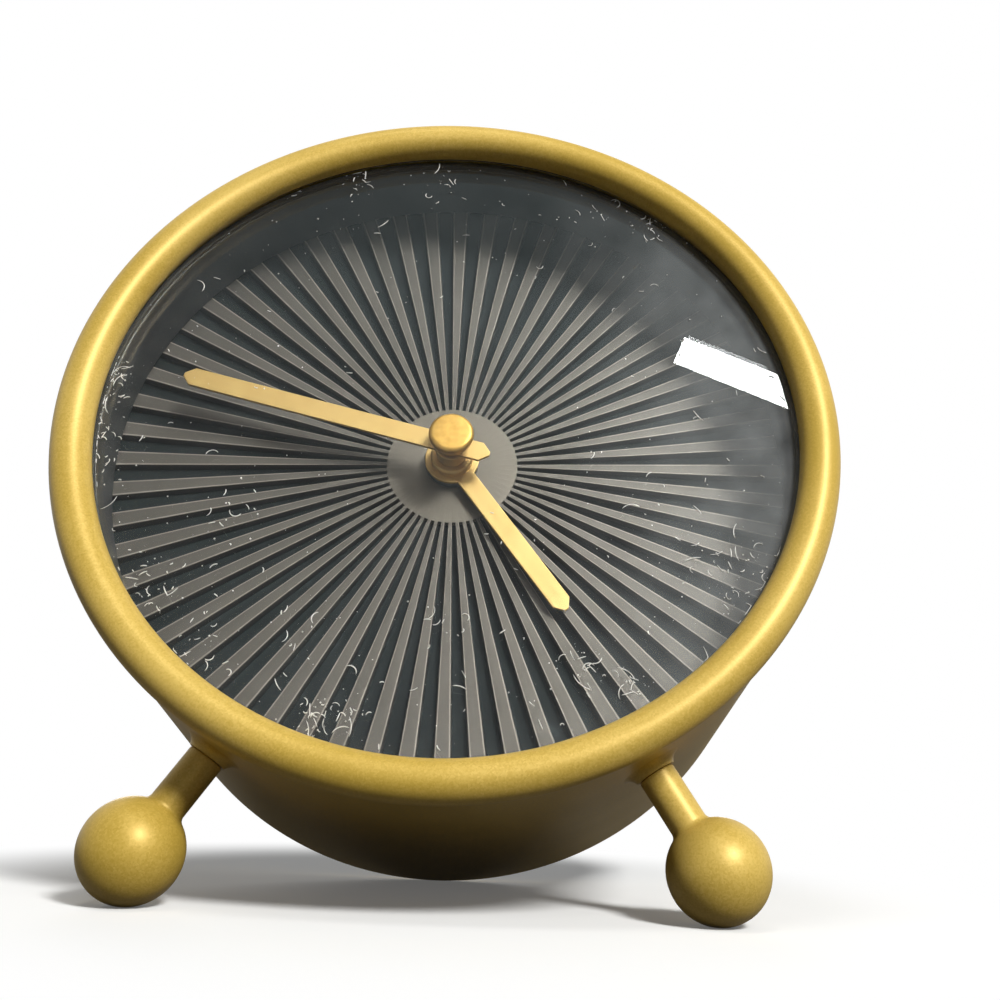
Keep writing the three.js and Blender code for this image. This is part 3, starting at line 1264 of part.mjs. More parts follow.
// Cheese-head screw whose head's front face seats at the given depth
function smallScrew(spot, seat, tip) {
  const headBack = seat + SCREW_HEAD_THICKNESS;
  const head = pin(SCREW_HEAD_RADIUS, seat, headBack, spot);
  const shank = pin(SCREW_RADIUS, tip, seat + GAP, spot);
  return cut(join(head, shank), crossSlot(spot, headBack, SCREW_HEAD_RADIUS));
}

function coverScrew(spot) {
  const coneDepth = COVER_SCREW_HEAD_RADIUS - COVER_SCREW_RADIUS;
  const back = COVER_FLANGE_BACK;
  const front = back - COVER_SCREW_LENGTH;
  const outline = [
    [0, front],
    [COVER_SCREW_RADIUS, front],
    [COVER_SCREW_RADIUS, back - coneDepth],
    [COVER_SCREW_HEAD_RADIUS, back],
    [0, back],
  ];
  const screw = turned(outline, TINY_SIDES).translate(spot.x, spot.y, 0);
  return cut(screw, crossSlot(spot, back, COVER_SCREW_HEAD_RADIUS));
}

// Assembly

place("case_body", caseBody(), GOLD);
place("bezel", bezel(), GOLD);
place("front_glass", rod(GLASS_RADIUS, GLASS_DEPTH, GLASS_BACK, INNER_RING_SIDES), GLASS);
place("glass_gasket", glassGasket(), RUBBER);
place("spacer_ring", spacerRing(), BLACK_PLASTIC);
place("dial", dial(), DIAL_BLACK);
for (const [word, side] of [["left", -1], ["right", 1]]) {
  place(`${word}_leg`, leg(side), GOLD);
  place(`${word}_leg_stud`, legStud(side), STEEL);
}
place("hour_hand", hourHand(), HAND_GOLD);
place("minute_hand", minuteHand(), HAND_GOLD);
place("cap_nut", capNut(), HAND_GOLD);
place("minute_pipe", minutePipe(), BRASS);
place("hour_wheel", hourWheel(), WHITE_PLASTIC);
place("motion_wheel", motionWheel(), WHITE_PLASTIC);
place("setting_knob", settingKnob(), BLACK_PLASTIC);
place("centre_wheel", centreWheel(), BRASS);
place("third_wheel", thirdWheel(), WHITE_PLASTIC);
place("second_wheel", secondWheel(), WHITE_PLASTIC);
place("intermediate_wheel", intermediateWheel(), WHITE_PLASTIC);
place("rotor", rotor(), STEEL);
place("movement_front_shell", movementFrontShell(), GREY_PLASTIC);
place("movement_rear_shell", movementRearShell(), GREY_PLASTIC);
place("train_plate", trainPlate(), WHITE_PLASTIC);
place("train_bridge", trainBridge(), WHITE_PLASTIC);
place("stator", stator(), STEEL);
place("coil_core", coilCore(), STEEL);
place("coil_bobbin", coilBobbin(), WHITE_PLASTIC);
place("coil_winding", coilWinding(), COPPER);
place("circuit_board", circuitBoard(), BOARD_GREEN);
place("control_chip", controlChip(), BLACK_PLASTIC);
place("quartz_crystal", quartzCrystal(), STEEL);
place("battery", battery(), BATTERY_SLEEVE);
place("contact_plus", contactPlus(), STEEL);
place("contact_minus", contactMinus(), STEEL);
place("back_cover", backCover(), BLACK_PLASTIC);
place("battery_door", batteryDoor(), BLACK_PLASTIC);
coverScrewPlaces.forEach((spot, i) => place(`cover_screw_${i + 1}`, coverScrew(spot), STEEL));
["left", "right"].forEach((word, i) => {
  const pillarTip = PLATE_FRONT - GAP - SCREW_BITE;
  place(`movement_screw_${word}`, smallScrew(pillarPlaces[i], movementScrewSeat, pillarTip), STEEL);
  place(`dial_screw_${word}`, smallScrew(dialScrewPlaces[i], EAR_BACK + GAP, BOSS_BACK - SCREW_BITE), STEEL);
});

// The dial's plane turns upright, the clock leans back, and it stands centred on its origin.
clock.rotation.x = Math.PI / 2 - lean;
const standing = new THREE.Group();
standing.add(clock);
standing.updateMatrixWorld(true);
const box = new THREE.Box3().setFromObject(standing, true);
clock.position.set(-(box.min.x + box.max.x) / 2, -(box.min.y + box.max.y) / 2, -box.min.z);

export default standing;
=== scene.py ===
import json
import math
from functools import partial

import bpy
import numpy as np
from mathutils import Matrix, Vector


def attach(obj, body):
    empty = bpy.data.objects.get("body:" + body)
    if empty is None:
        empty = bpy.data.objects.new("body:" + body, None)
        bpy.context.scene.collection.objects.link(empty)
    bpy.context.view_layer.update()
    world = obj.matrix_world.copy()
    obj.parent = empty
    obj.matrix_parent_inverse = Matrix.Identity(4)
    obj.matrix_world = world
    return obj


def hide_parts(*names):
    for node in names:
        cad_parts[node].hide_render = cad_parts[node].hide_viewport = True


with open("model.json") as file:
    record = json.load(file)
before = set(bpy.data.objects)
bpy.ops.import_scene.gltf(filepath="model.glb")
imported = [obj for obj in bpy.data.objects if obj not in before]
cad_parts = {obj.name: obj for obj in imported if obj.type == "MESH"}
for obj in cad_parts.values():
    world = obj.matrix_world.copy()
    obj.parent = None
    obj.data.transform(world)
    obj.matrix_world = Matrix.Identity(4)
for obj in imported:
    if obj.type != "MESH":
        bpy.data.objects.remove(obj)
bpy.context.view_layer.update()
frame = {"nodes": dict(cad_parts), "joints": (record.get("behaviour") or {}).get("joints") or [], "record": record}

# Lengths are in millimetres in the clock's own frame until row() turns them: x to the right and y up
# across the dial, and a depth counted backwards from the front of the lip.
MM = 0.001

# The clock's lean and place come from the joint that the minute hand turns on.
HAND_JOINT_DEPTH = 12.5
hand_joint = next(j for j in frame["joints"] if j["name"] == "minute_hand_turn")
LEAN_COS = hand_joint["axis"][1]
LEAN_SIN = -hand_joint["axis"][2]
FRONT_CENTRE = np.array(hand_joint["pos_m"]) - HAND_JOINT_DEPTH * MM * np.array(hand_joint["axis"])

# Drum, lip and feet
GAP = 0.3
DRUM_RADIUS = 54.4
DRUM_WALL = 1.9
DRUM_DEPTH = 58.9
DRUM_REAR_ROUND = 1.6
DRUM_INNER = DRUM_RADIUS - DRUM_WALL
FITTED_RADIUS = DRUM_INNER - GAP
LEDGE_WIDTH = 2.0
LEDGE_DEPTH = 21.3
LEDGE_THICKNESS = 2
LIP_ROUND = 2.76
LIP_CENTRE = DRUM_RADIUS + 0.6 - LIP_ROUND
SEAM_DEPTH = LIP_ROUND + math.sqrt(LIP_ROUND**2 - (DRUM_RADIUS - LIP_CENTRE) ** 2)
SKIRT_END = SEAM_DEPTH + 4.5
SKIRT_INNER = FITTED_RADIUS - 1.0
SEAT_DEPTH = 3.8
LEG_ANGLE = math.radians(31.8)
LEG_DEPTH = 14.5
PARTING_RADIUS = DRUM_RADIUS + 1.3
BALL_DISTANCE = PARTING_RADIUS + 13.94
BALL_RADIUS = 6.63
STEM_RADIUS = 2.5
STEM_FILLET = 0.9
BOSS_RADIUS = 2.75
BOSS_FLARE = 1.9
PARTING_LINE = 0.05
STUD_HOLE_RADIUS = 1.5
STUD_HOLE_IN_FOOT = 4.3
STUD_HOLE_IN_DRUM = 1.25
LUG_RADIUS = 3.0
LUG_LENGTH = 10
CASE_SIDES = 288

# Glass, gasket, dark ring and dial
GLASS_RADIUS = SKIRT_INNER - GAP
GLASS_FRONT = 4.1
GLASS_BACK = 6.1
SEAL_INNER = GLASS_RADIUS - 0.95
SEAL_FRONT = 6.4
SEAL_BACK = 7.0
RING_FRONT = 7.3
DIAL_TOP = 18.4
GROOVE_FLOOR = 19.6
DIAL_BACK = 21.0
DISC_RADIUS = 10.0
RIM_INNER = 50.67
GROOVE_END = RIM_INNER + 1.2
POST_HOLE = 3.9
EAR_X = 31.5
EAR_RADIUS = 2.6
EAR_LENGTH = 3
RIB_COUNT = 60
RIB_TURN = math.radians(1.4)
ACROSS_RIB = "across_rib"
RIB_MARK = 0.12

# Hands
HOUR_ANGLE = math.radians(143.675)
MINUTE_ANGLE = math.radians(284.1)
TIP_CUT = 1.35
TIP_HALF_WIDTH = 0.32

# Back
COVER_FRONT = 37.6
COVER_FLOOR = 40.6
FLANGE_FRONT = 56.1
FLANGE_BACK = 58.1
CAVITY_HALF = 26.8
CAVITY_LOW = -26.8
CAVITY_HIGH = 27.0437
CAVITY_CORNER = 1.8
TUB_MARGIN = 4.7
RECESS_MARGIN = 2.7
DOOR_LOW = -27.3
DOOR_HIGH = -11.5
DOOR_THICKNESS = 2.4
BATTERY_Y = -19.4
BATTERY_DEPTH = 29.9
BATTERY_RADIUS = 7.1
KNOB_X = -13.543
KNOB_Y = 6.315
KNOB_RADIUS = 5.5
KNOB_LENGTH = 4.2
KNOB_TEETH = 36
SCREW_DISTANCE = 50.0
SCREW_CONE = 1.15


def row(points):
    """Turns x, y and depth in mm to the row frame in metres: the dial's plane leans back about x, so y goes
    mostly up and depth mostly backwards, and the front's centre goes to its measured place."""
    x, y, depth = np.moveaxis(np.asarray(points, float), -1, 0)
    back = y * LEAN_SIN + depth * LEAN_COS
    up = y * LEAN_COS - depth * LEAN_SIN
    return np.stack([x, back, up], -1) * MM + FRONT_CENTRE


# Sections and outlines


def full_turn(steps):
    """Even angles once round, the first at nought."""
    return np.linspace(0, 2 * np.pi, steps, endpoint=False)


def arc(across, along, radius, start, end, steps):
    """Points on a circle round (across, along), from one angle to another in degrees."""
    angle = np.radians(np.linspace(start, end, steps + 1))
    return np.stack([across + radius * np.cos(angle), along + radius * np.sin(angle)], -1)


def rounded(corners, radii, steps=5, loop=False):
    """Cuts each corner of a section by a circle tangent to both of its sides: the circle's centre lies on the
    corner's bisector, radius over the sine of half the angle away."""
    corners = np.asarray(corners, float)
    radii = np.broadcast_to(radii, len(corners))
    pieces = []
    for i, (corner, radius) in enumerate(zip(corners, radii)):
        if radius <= 0 or (not loop and i in (0, len(corners) - 1)):
            pieces.append(corner[None])
            continue
        before = corners[i - 1] - corner
        after = corners[(i + 1) % len(corners)] - corner
        before /= np.linalg.norm(before)
        after /= np.linalg.norm(after)
        half = math.acos(np.clip(before @ after, -1, 1)) / 2
        bisector = (before + after) / np.linalg.norm(before + after)
        centre = corner + bisector * radius / math.sin(half)
        first = corner + before * radius / math.tan(half) - centre
        last = corner + after * radius / math.tan(half) - centre
        share = np.linspace(0, 1, steps + 1)[:, None]
        sweep = math.pi - 2 * half
        blend = (np.sin((1 - share) * sweep) * first + np.sin(share * sweep) * last) / math.sin(sweep)
        pieces.append(centre + blend)
    return np.vstack(pieces)


def rounded_box(half_width, low, high, corner, steps):
    """Outline of an upright rectangle with round corners, anticlockwise from the lower right."""
    corners = [[half_width, low], [half_width, high], [-half_width, high], [-half_width, low]]
    return rounded(corners, corner, steps, loop=True)


def bearings(outline):
    """Angle of each of the outline's points about the centre."""
    return np.arctan2(outline[:, 1], outline[:, 0]) % (2 * np.pi)


def dense(outline, steps):
    """The outline with each of its sides divided into even steps."""
    share = np.linspace(0, 1, steps, endpoint=False)[:, None]
    points = outline[:, None] * (1 - share) + np.roll(outline, -1, 0)[:, None] * share
    return points.reshape(-1, 2)


def outline_radius(outline, angles):
    """Distance from the centre to a star-shaped outline at the given angles, read between its points."""
    polar = bearings(outline)
    order = np.argsort(polar)
    return np.interp(angles, polar[order], np.hypot(*outline.T)[order], period=2 * np.pi)


# Surfaces

# How far inside a plate's rounded edge the ring lies that keeps its face flat to the eye
FLAT_MARGIN = 0.12


def skin(grid, loop=False):
    """Quads between neighbouring rows and columns of a grid of points in the clock's frame. Columns close on
    themselves. Rows close too on a loop; otherwise the first and the last row shrink to their mean, a pole.
    The faces are turned round where the enclosed volume comes out negative, so they point outwards."""
    points = row(grid)
    columns = points.shape[1]
    inner = points if loop else points[1:-1]
    count = len(inner)
    a = np.arange(count if loop else count - 1)[:, None] * columns
    b = np.arange(columns)[None]
    here, beside = a + b, a + (b + 1) % columns
    below, across = (here + columns) % (count * columns), (beside + columns) % (count * columns)
    quads = np.stack([here, beside, across, below], -1).reshape(-1, 4)
    vertices = inner.reshape(-1, 3)
    fans = np.zeros((0, 3), int)
    if not loop:
        top, bottom = len(vertices), len(vertices) + 1
        ring = np.arange(columns)
        turned = (ring + 1) % columns
        last = (count - 1) * columns
        fans = np.vstack([
            np.stack([np.full(columns, top), turned, ring], -1),
            np.stack([np.full(columns, bottom), last + ring, last + turned], -1),
        ])
        vertices = np.vstack([vertices, points[0].mean(0), points[-1].mean(0)])
    triangles = np.vstack([quads[:, [0, 1, 2]], quads[:, [0, 2, 3]], fans])
    corner = vertices[triangles] - vertices[0]
    if np.einsum("ij,ij->i", corner[:, 0], np.cross(corner[:, 1], corner[:, 2])).sum() < 0:
        quads, fans = quads[:, ::-1], fans[:, ::-1]
    return vertices, quads, fans


def spun(section, sides=192, centre=(0.0, 0.0), loop=False):
    """Section of [radius, depth] turned about an axis square to the dial through the given centre."""
    turn = full_turn(sides)
    section = np.asarray(section, float)
    radius, depth = section[:, :1], section[:, 1:]
    x = centre[0] + radius * np.cos(turn)
    y = centre[1] + radius * np.sin(turn)
    return skin(np.stack([x, y, depth + 0 * x], -1), loop)


def spun_along(section, origin, along, across, sides=96, loop=False):
    """Section of [radius, distance] turned about any line: the point at a distance along the line, plus the
    radius times the cosine and sine of the turn in the two directions square to it."""
    turn = full_turn(sides)[None, :, None]
    section = np.asarray(section, float)
    radius, distance = section[:, :1, None], section[:, 1:, None]
    other = np.cross(along, across)
    points = origin + distance * np.asarray(along) + radius * (np.cos(turn) * across + np.sin(turn) * other)
    return skin(points, loop)


def slab(outline, front, back, bevel, hole=None, to_clock=None):
    """Flat plate: its outline shifted inwards by a quarter circle at each face, so that the edges are round.
    A hole has the same angles as the outline, at its own radius, and makes the section a loop. One more ring
    just inside each rounded edge keeps the faces' shading flat."""
    outline = np.asarray(outline, float)
    run = np.roll(outline, -1, 0) - np.roll(outline, 1, 0)
    outward = np.stack([run[:, 1], -run[:, 0]], -1) / np.linalg.norm(run, axis=1)[:, None]
    area = np.sum(outline[:, 0] * np.roll(outline[:, 1], -1) - np.roll(outline[:, 0], -1) * outline[:, 1])
    outward *= np.sign(area)
    turn = np.radians([0, 30, 60, 90])
    inset = bevel * (1 - np.sin(turn))
    rise = bevel * (1 - np.cos(turn))
    inset = np.concatenate([[bevel + FLAT_MARGIN], inset])
    rise = np.concatenate([[0], rise])
    insets = np.concatenate([inset, inset[::-1]])[:, None, None]
    depths = np.concatenate([front + rise, back - rise[::-1]])
    rings = outline - insets * outward
    if hole is None:
        middle = np.repeat(outline.mean(0)[None], len(outline), 0)
    else:
        middle = outline / np.linalg.norm(outline, axis=1)[:, None] * hole
    rings = np.concatenate([middle[None], rings, middle[None]])
    depths = np.concatenate([[front], depths, [back]])
    grid = np.concatenate([rings, np.broadcast_to(depths[:, None, None], rings.shape[:2] + (1,))], -1)
    return skin(to_clock(grid) if to_clock else grid, loop=hole is not None)


def spin_points(grid, angle):
    """Turns x and y clockwise about the dial's centre, as a hand turns, and leaves the depth."""
    x, y, depth = np.moveaxis(grid, -1, 0)
    c, s = math.cos(angle), math.sin(angle)
    return np.stack([x * c + y * s, y * c - x * s, depth], -1)


def new_mesh(name, skins):
    """One mesh of all the skins, which share no vertices."""
    vertices, faces, start = [], [], 0
    for points, quads, fans in skins:
        vertices.append(points)
        faces += (quads + start).tolist() + (fans + start).tolist()
        start += len(points)
    mesh = bpy.data.meshes.new(name)
    mesh.from_pydata(np.vstack(vertices).tolist(), [], faces)
    mesh.validate()
    return mesh


def piece(name, skins, material, body, replaced=(), sharp=32):
    """One object of closed skins, smooth except where faces meet at more than the sharp angle. Its normals
    lean towards its larger faces, so that a flat face beside a rounded edge mirrors as a flat one."""
    mesh = skins if isinstance(skins, bpy.types.Mesh) else new_mesh(name, skins)
    mesh.shade_smooth()
    mesh.set_sharp_from_angle(angle=math.radians(sharp))
    mesh.materials.clear()
    mesh.materials.append(material)
    thing = bpy.data.objects.new(name, mesh)
    bpy.context.scene.collection.objects.link(thing)
    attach(thing, body)
    even = thing.modifiers.new("flat_faces_stay_flat", "WEIGHTED_NORMAL")
    even.keep_sharp = True
    if replaced:
        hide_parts(*replaced)
    return thing


def carved(name, skins, cutters):
    """The skins' solid with each cutter's solid taken out of it."""
    block = bpy.data.objects.new(name, new_mesh(name, skins))
    bpy.context.scene.collection.objects.link(block)
    tools = []
    for i, cutter in enumerate(cutters):
        tool = bpy.data.objects.new(f"{name}_cut_{i}", new_mesh(f"{name}_cut_{i}", [cutter]))
        bpy.context.scene.collection.objects.link(tool)
        modifier = block.modifiers.new(f"cut_{i}", "BOOLEAN")
        modifier.operation = "DIFFERENCE"
        modifier.solver = "EXACT"
        modifier.object = tool
        tools.append(tool)
    bpy.context.view_layer.update()
    result = bpy.data.meshes.new_from_object(block.evaluated_get(bpy.context.evaluated_depsgraph_get()))
    for used in [block, *tools]:
        bpy.data.objects.remove(used)
    return result


# Materials


def linear(hex_colour):
    """sRGB hex to the linear values that the shaders take."""
    value = np.array([int(hex_colour[i : i + 2], 16) for i in (1, 3, 5)]) / 255
    value = np.where(value <= 0.04045, value / 12.92, ((value + 0.055) / 1.055) ** 2.4)
    return (*value, 1.0)


def per(size_mm):
    """Scale at which a pattern's lumps are about the given size across, on coordinates in metres."""
    return 1 / (size_mm * MM)


def add(tree, kind, settings=None, links=None):
    """Adds a shader node, sets its properties, colour stops or sockets, and links its inputs. A link comes
    from a socket, or from a node's first output."""
    node = tree.nodes.new("ShaderNode" + kind)
    for key, value in (settings or {}).items():
        if key == "stops":
            elements = node.color_ramp.elements
            while len(elements) < len(value):
                elements.new(0.5)
            for element, (place, colour) in zip(elements, value):
                element.position, element.color = place, linear(colour)
        elif isinstance(key, str) and hasattr(node, key):
            setattr(node, key, value)
        else:
            node.inputs[key].default_value = value
    for key, source in (links or {}).items():
        tree.links.new(source.outputs[0] if isinstance(source, bpy.types.Node) else source, node.inputs[key])
    return node


def start_material(name):
    """New material with an empty tree, and the object's own coordinates for its patterns."""
    material = bpy.data.materials.new(name)
    material.use_nodes = True
    material.node_tree.nodes.clear()
    return material, material.node_tree, add(material.node_tree, "TexCoord").outputs["Object"]


def finish_material(tree, settings, links):
    """Joins the finish's values and patterns in one shader and shows it."""
    shader = add(tree, "BsdfPrincipled", settings, links)
    add(tree, "OutputMaterial", links={"Surface": shader})
    return shader


def satin_gold_powder_coat():
    """Die-cast zinc under a satin gold powder coat, sprayed and baked: a broad soft highlight, pale yellow
    where the light falls and brown gold in the shade, with a grain of metal flakes. The flakes are 0.05 mm
    across and are drawn at 0.22 mm, so that they show."""
    material, tree, place = start_material("satin_gold_powder_coat")
    cloud = add(tree, "TexNoise", {"Scale": per(26), "Detail": 2.0}, {"Vector": place})
    peel = add(tree, "TexNoise", {"Scale": per(0.5), "Detail": 2.0}, {"Vector": place})
    flake = add(tree, "TexVoronoi", {"Scale": per(0.22)}, {"Vector": place})
    glint = flake.outputs["Color"]
    tone = add(tree, "Math", {"operation": "MULTIPLY_ADD", 1: 0.35}, {0: glint, 2: cloud})
    colour = add(tree, "ValToRGB", {
        "stops": [(0.5, "#B99A3C"), (0.7, "#C4A449"), (0.9, "#CFB058")]}, {"Fac": tone})
    gloss = add(tree, "MapRange", {"To Min": 0.4, "To Max": 0.5}, {"Value": glint})
    relief = add(tree, "Math", {"operation": "MULTIPLY_ADD", 1: 0.2}, {0: flake, 2: peel})
    bumps = add(tree, "Bump", {"Strength": 0.35, "Distance": 0.02 * MM}, {"Height": relief})
    finish_material(tree, {"Metallic": 0.16, "Specular IOR Level": 0.36}, {
        "Base Color": colour, "Roughness": gloss, "Normal": bumps})
    return material


def grained(name, tones, shine, relief, grain, cloud, metallic=0.0):
    """Surface of two close tones in soft clouds, under a fine grain that gives a bump and makes the shine
    come and go. The cloud is a size in mm and a detail, and the grain has a roughness too. The shine is the
    shader's roughness where the grain is low and high, and the relief is a strength and a height in mm."""
    material, tree, place = start_material(name)
    clouds = add(tree, "TexNoise", {"Scale": per(cloud[0]), "Detail": cloud[1]}, {"Vector": place})
    grains = add(tree, "TexNoise", {
        "Scale": per(grain[0]), "Detail": grain[1], "Roughness": grain[2]}, {"Vector": place})
    colour = add(tree, "ValToRGB", {"stops": list(zip((0.3, 0.7), tones))}, {"Fac": clouds})
    gloss = add(tree, "MapRange", {
        "From Min": 0.3, "From Max": 0.7, "To Min": shine[0], "To Max": shine[1]}, {"Value": grains})
    bumps = add(tree, "Bump", {
        "Strength": relief[0], "Distance": relief[1] * MM}, {"Height": grains})
    finish_material(tree, {"Metallic": metallic}, {"Base Color": colour, "Roughness": gloss, "Normal": bumps})
    return material


def sprayed_rib_dial():
    """Moulded ABS dial under a sprayed coat: matt charcoal in the grooves, satin grey-taupe on the flat rib
    tops and the centre disc. A thin paler line along both edges of each rib's top is a painted highlight of
    the rib's edge catching the lamp. The tops shine on the lamp's side and darken away from it. The piece's
    own attribute says how far a point lies across a rib's half pitch."""
    material, tree, place = start_material("sprayed_rib_dial")
    across = add(tree, "Attribute", {"attribute_name": ACROSS_RIB}).outputs["Fac"]
    cloud = add(tree, "TexNoise", {"Scale": per(9), "Detail": 3.0}, {"Vector": place})
    grain = add(tree, "TexNoise", {"Scale": per(0.3), "Detail": 2.0}, {"Vector": place})
    shift = add(tree, "Math", {"operation": "MULTIPLY_ADD", 1: 0.04, 2: -0.02}, {0: cloud})
    mark = add(tree, "Math", {"operation": "ADD"}, {0: across, 1: shift})
    # The stop at 0.49 is a painted highlight along both edges of each rib's top.
    colour = add(tree, "ValToRGB", {"stops": [
        (0.02, "#5E564D"), (0.1, "#504A44"), (0.42, "#4F4842"), (0.49, "#8E847A"), (0.54, "#423D3A"),
        (0.62, "#161D1E"), (1.0, "#0F1516")]}, {"Fac": mark})
    gloss = add(tree, "MapRange", {
        "From Min": 0.45, "From Max": 0.62, "To Min": 0.57, "To Max": 0.8}, {"Value": across})
    bumps = add(tree, "Bump", {"Strength": 0.06, "Distance": 0.006 * MM}, {"Height": grain})
    finish_material(tree, {"Metallic": 0.6}, {"Base Color": colour, "Roughness": gloss, "Normal": bumps})
    return material


def moulded_plastic(name, dark, light, roughness, grain_mm, relief_mm):
    """Plastic or rubber with the grain of a spark-eroded mould, or a lacquered sheet: nearly one tone, and a
    soft shine broken by the grain."""
    shine = (roughness - 0.05, roughness + 0.07)
    return grained(name, (dark, light), shine, (0.7, relief_mm), (grain_mm, 3.0, 0.6), (8, 2.0))


def float_glass():
    """Clear float glass with ground edges: smooth and colourless, under a thin uneven layer of dust that grows
    towards the right, where it is also a painted reflection haze of a bright room on that side. Rays from the
    lamps and scattered light go straight through, as they do through a pane."""
    material, tree, place = start_material("float_glass")
    patches = add(tree, "TexNoise", {"Scale": per(7), "Detail": 5.0}, {"Vector": place})
    across = add(tree, "SeparateXYZ", links={"Vector": place}).outputs["X"]
    # Grows towards the right: partly dust, partly a painted reflection haze of a bright room on that side.
    dust_and_reflection_rise = add(tree, "MapRange", {
        "interpolation_type": "SMOOTHSTEP", "From Min": 10 * MM, "From Max": 52 * MM, "To Min": 0.015,
        "To Max": 0.14}, {"Value": across})
    dust_and_reflection_film = add(tree, "Math", {"operation": "MULTIPLY"}, {0: dust_and_reflection_rise, 1: patches})
    clean = add(tree, "Math", {"operation": "SUBTRACT", 0: 1.0}, {1: dust_and_reflection_film})
    pane = finish_material(tree, {"Base Color": linear("#F8FBFA"), "IOR": 1.45, "Roughness": 0.0}, {
        "Transmission Weight": clean})
    path = add(tree, "LightPath")
    light = add(tree, "Math", {"operation": "MAXIMUM"}, {
        0: path.outputs["Is Shadow Ray"], 1: path.outputs["Is Diffuse Ray"]})
    clear = add(tree, "BsdfTransparent", {"Color": linear("#F4F7F6")})
    both = add(tree, "MixShader", links={0: light, 1: pane, 2: clear})
    tree.links.new(both.outputs[0], tree.get_output_node("ALL").inputs["Surface"])
    return material


def worked_metal(name, dark, light, roughness, grain_mm):
    """Metal with a worked surface: bright, with a fine grain that breaks up the reflections."""
    shine = (roughness - 0.06, roughness + 0.08)
    return grained(name, (dark, light), shine, (0.4, 0.01), (grain_mm, 3.0, 0.6), (3, 3.0), 1.0)


def wound_copper_wire():
    """Enamelled copper wire, wound in close turns 0.12 mm apart; drawn at 0.3 mm so that the turns show."""
    material, tree, place = start_material("wound_copper_wire")
    turns = add(tree, "TexWave", {
        "bands_direction": "X", "Scale": per(0.3) / math.pi, "Distortion": 0.4}, {"Vector": place})
    colour = add(tree, "ValToRGB", {"stops": [(0.1, "#7E3B1A"), (0.7, "#B8622F")]}, {"Fac": turns})
    bumps = add(tree, "Bump", {"Strength": 0.8, "Distance": 0.08 * MM}, {"Height": turns})
    finish_material(tree, {"Metallic": 0.8, "Roughness": 0.35}, {"Base Color": colour, "Normal": bumps})
    return material


def cotton_lint():
    """Loose cotton and dust fibres: white, soft and without gloss, greyer here and there."""
    material, tree, place = start_material("cotton_lint")
    tone = add(tree, "TexNoise", {"Scale": per(1), "Detail": 2.0}, {"Vector": place})
    colour = add(tree, "ValToRGB", {"stops": [(0.3, "#CBC9C2"), (0.7, "#F4F2EC")]}, {"Fac": tone})
    finish_material(tree, {"Roughness": 0.9}, {"Base Color": colour})
    return material


gold = satin_gold_powder_coat()
# Stamped aluminium sheet under a gilt lacquer: pale and even, with a faint rolled grain 0.15 mm wide
gilt = grained(
    "lacquered_hand_sheet", ("#C49E5C", "#CCA866"), shine=(0.4, 0.52), relief=(0.4, 0.008),
    grain=(0.15, 2.0, 0.5), cloud=(4, 2.0), metallic=0.4)
# Brass turned on a lathe under gilt lacquer: warmer than the hands and faintly mottled
turned_gilt = grained(
    "turned_gilt_brass", ("#B98A3A", "#D0A24E"), shine=(0.34, 0.48), relief=(0.4, 0.012),
    grain=(0.18, 2.0, 0.5), cloud=(1, 3.0), metallic=0.55)
dial_finish = sprayed_rib_dial()
black = moulded_plastic("moulded_black_abs", "#1B1C1D", "#222324", 0.55, 0.3, 0.03)
grey = moulded_plastic("moulded_grey_abs", "#84878A", "#909396", 0.55, 0.3, 0.02)
white = moulded_plastic("moulded_natural_acetal", "#D2D0C8", "#DEDCD5", 0.45, 0.4, 0.01)
rubber = moulded_plastic("moulded_nitrile_rubber", "#0F0F0F", "#151515", 0.8, 0.3, 0.02)
laminate = moulded_plastic("lacquered_glass_laminate", "#1B5234", "#23643F", 0.4, 0.5, 0.01)
sleeve = moulded_plastic("shrunk_battery_sleeve", "#35465A", "#3E5068", 0.3, 0.8, 0.005)
glass = float_glass()
steel = worked_metal("zinc_plated_steel", "#A9ACAE", "#C3C6C8", 0.3, 0.25)
brass = worked_metal("stamped_brass", "#A9843A", "#C29C4E", 0.32, 0.25)
copper = wound_copper_wire()
lint = cotton_lint()

slot_material = {
    "gold_case": gold, "gold_hands": gilt, "dial_black": dial_finish, "black_plastic": black,
    "grey_plastic": grey, "white_plastic": white, "rubber": rubber, "clear_glass": glass, "steel": steel,
    "brass": brass, "copper_wire": copper, "board_green": laminate, "battery_sleeve": sleeve,
}
for part in frame["record"]["subparts"]:
    node = frame["nodes"][part["node"]]
    node.data.materials.clear()
    node.data.materials.append(slot_material[part["material_slot"]])


# Case


def lip_ring():
    """The lip's round bead, from the glass seat round to the seam, and its skirt inside the drum."""
    seat_angle = 180 - math.degrees(math.asin((SEAT_DEPTH - LIP_ROUND) / LIP_ROUND))
    seam_angle = 360 + math.degrees(math.asin((SEAM_DEPTH - LIP_ROUND) / LIP_ROUND))
    bead = arc(LIP_CENTRE, LIP_ROUND, LIP_ROUND, seat_angle, seam_angle, 56)
    skirt = [
        [FITTED_RADIUS, SEAM_DEPTH], [FITTED_RADIUS, SKIRT_END], [SKIRT_INNER, SKIRT_END],
        [SKIRT_INNER, SEAT_DEPTH],
    ]
    return spun(np.vstack([bead, skirt]), CASE_SIDES, loop=True)


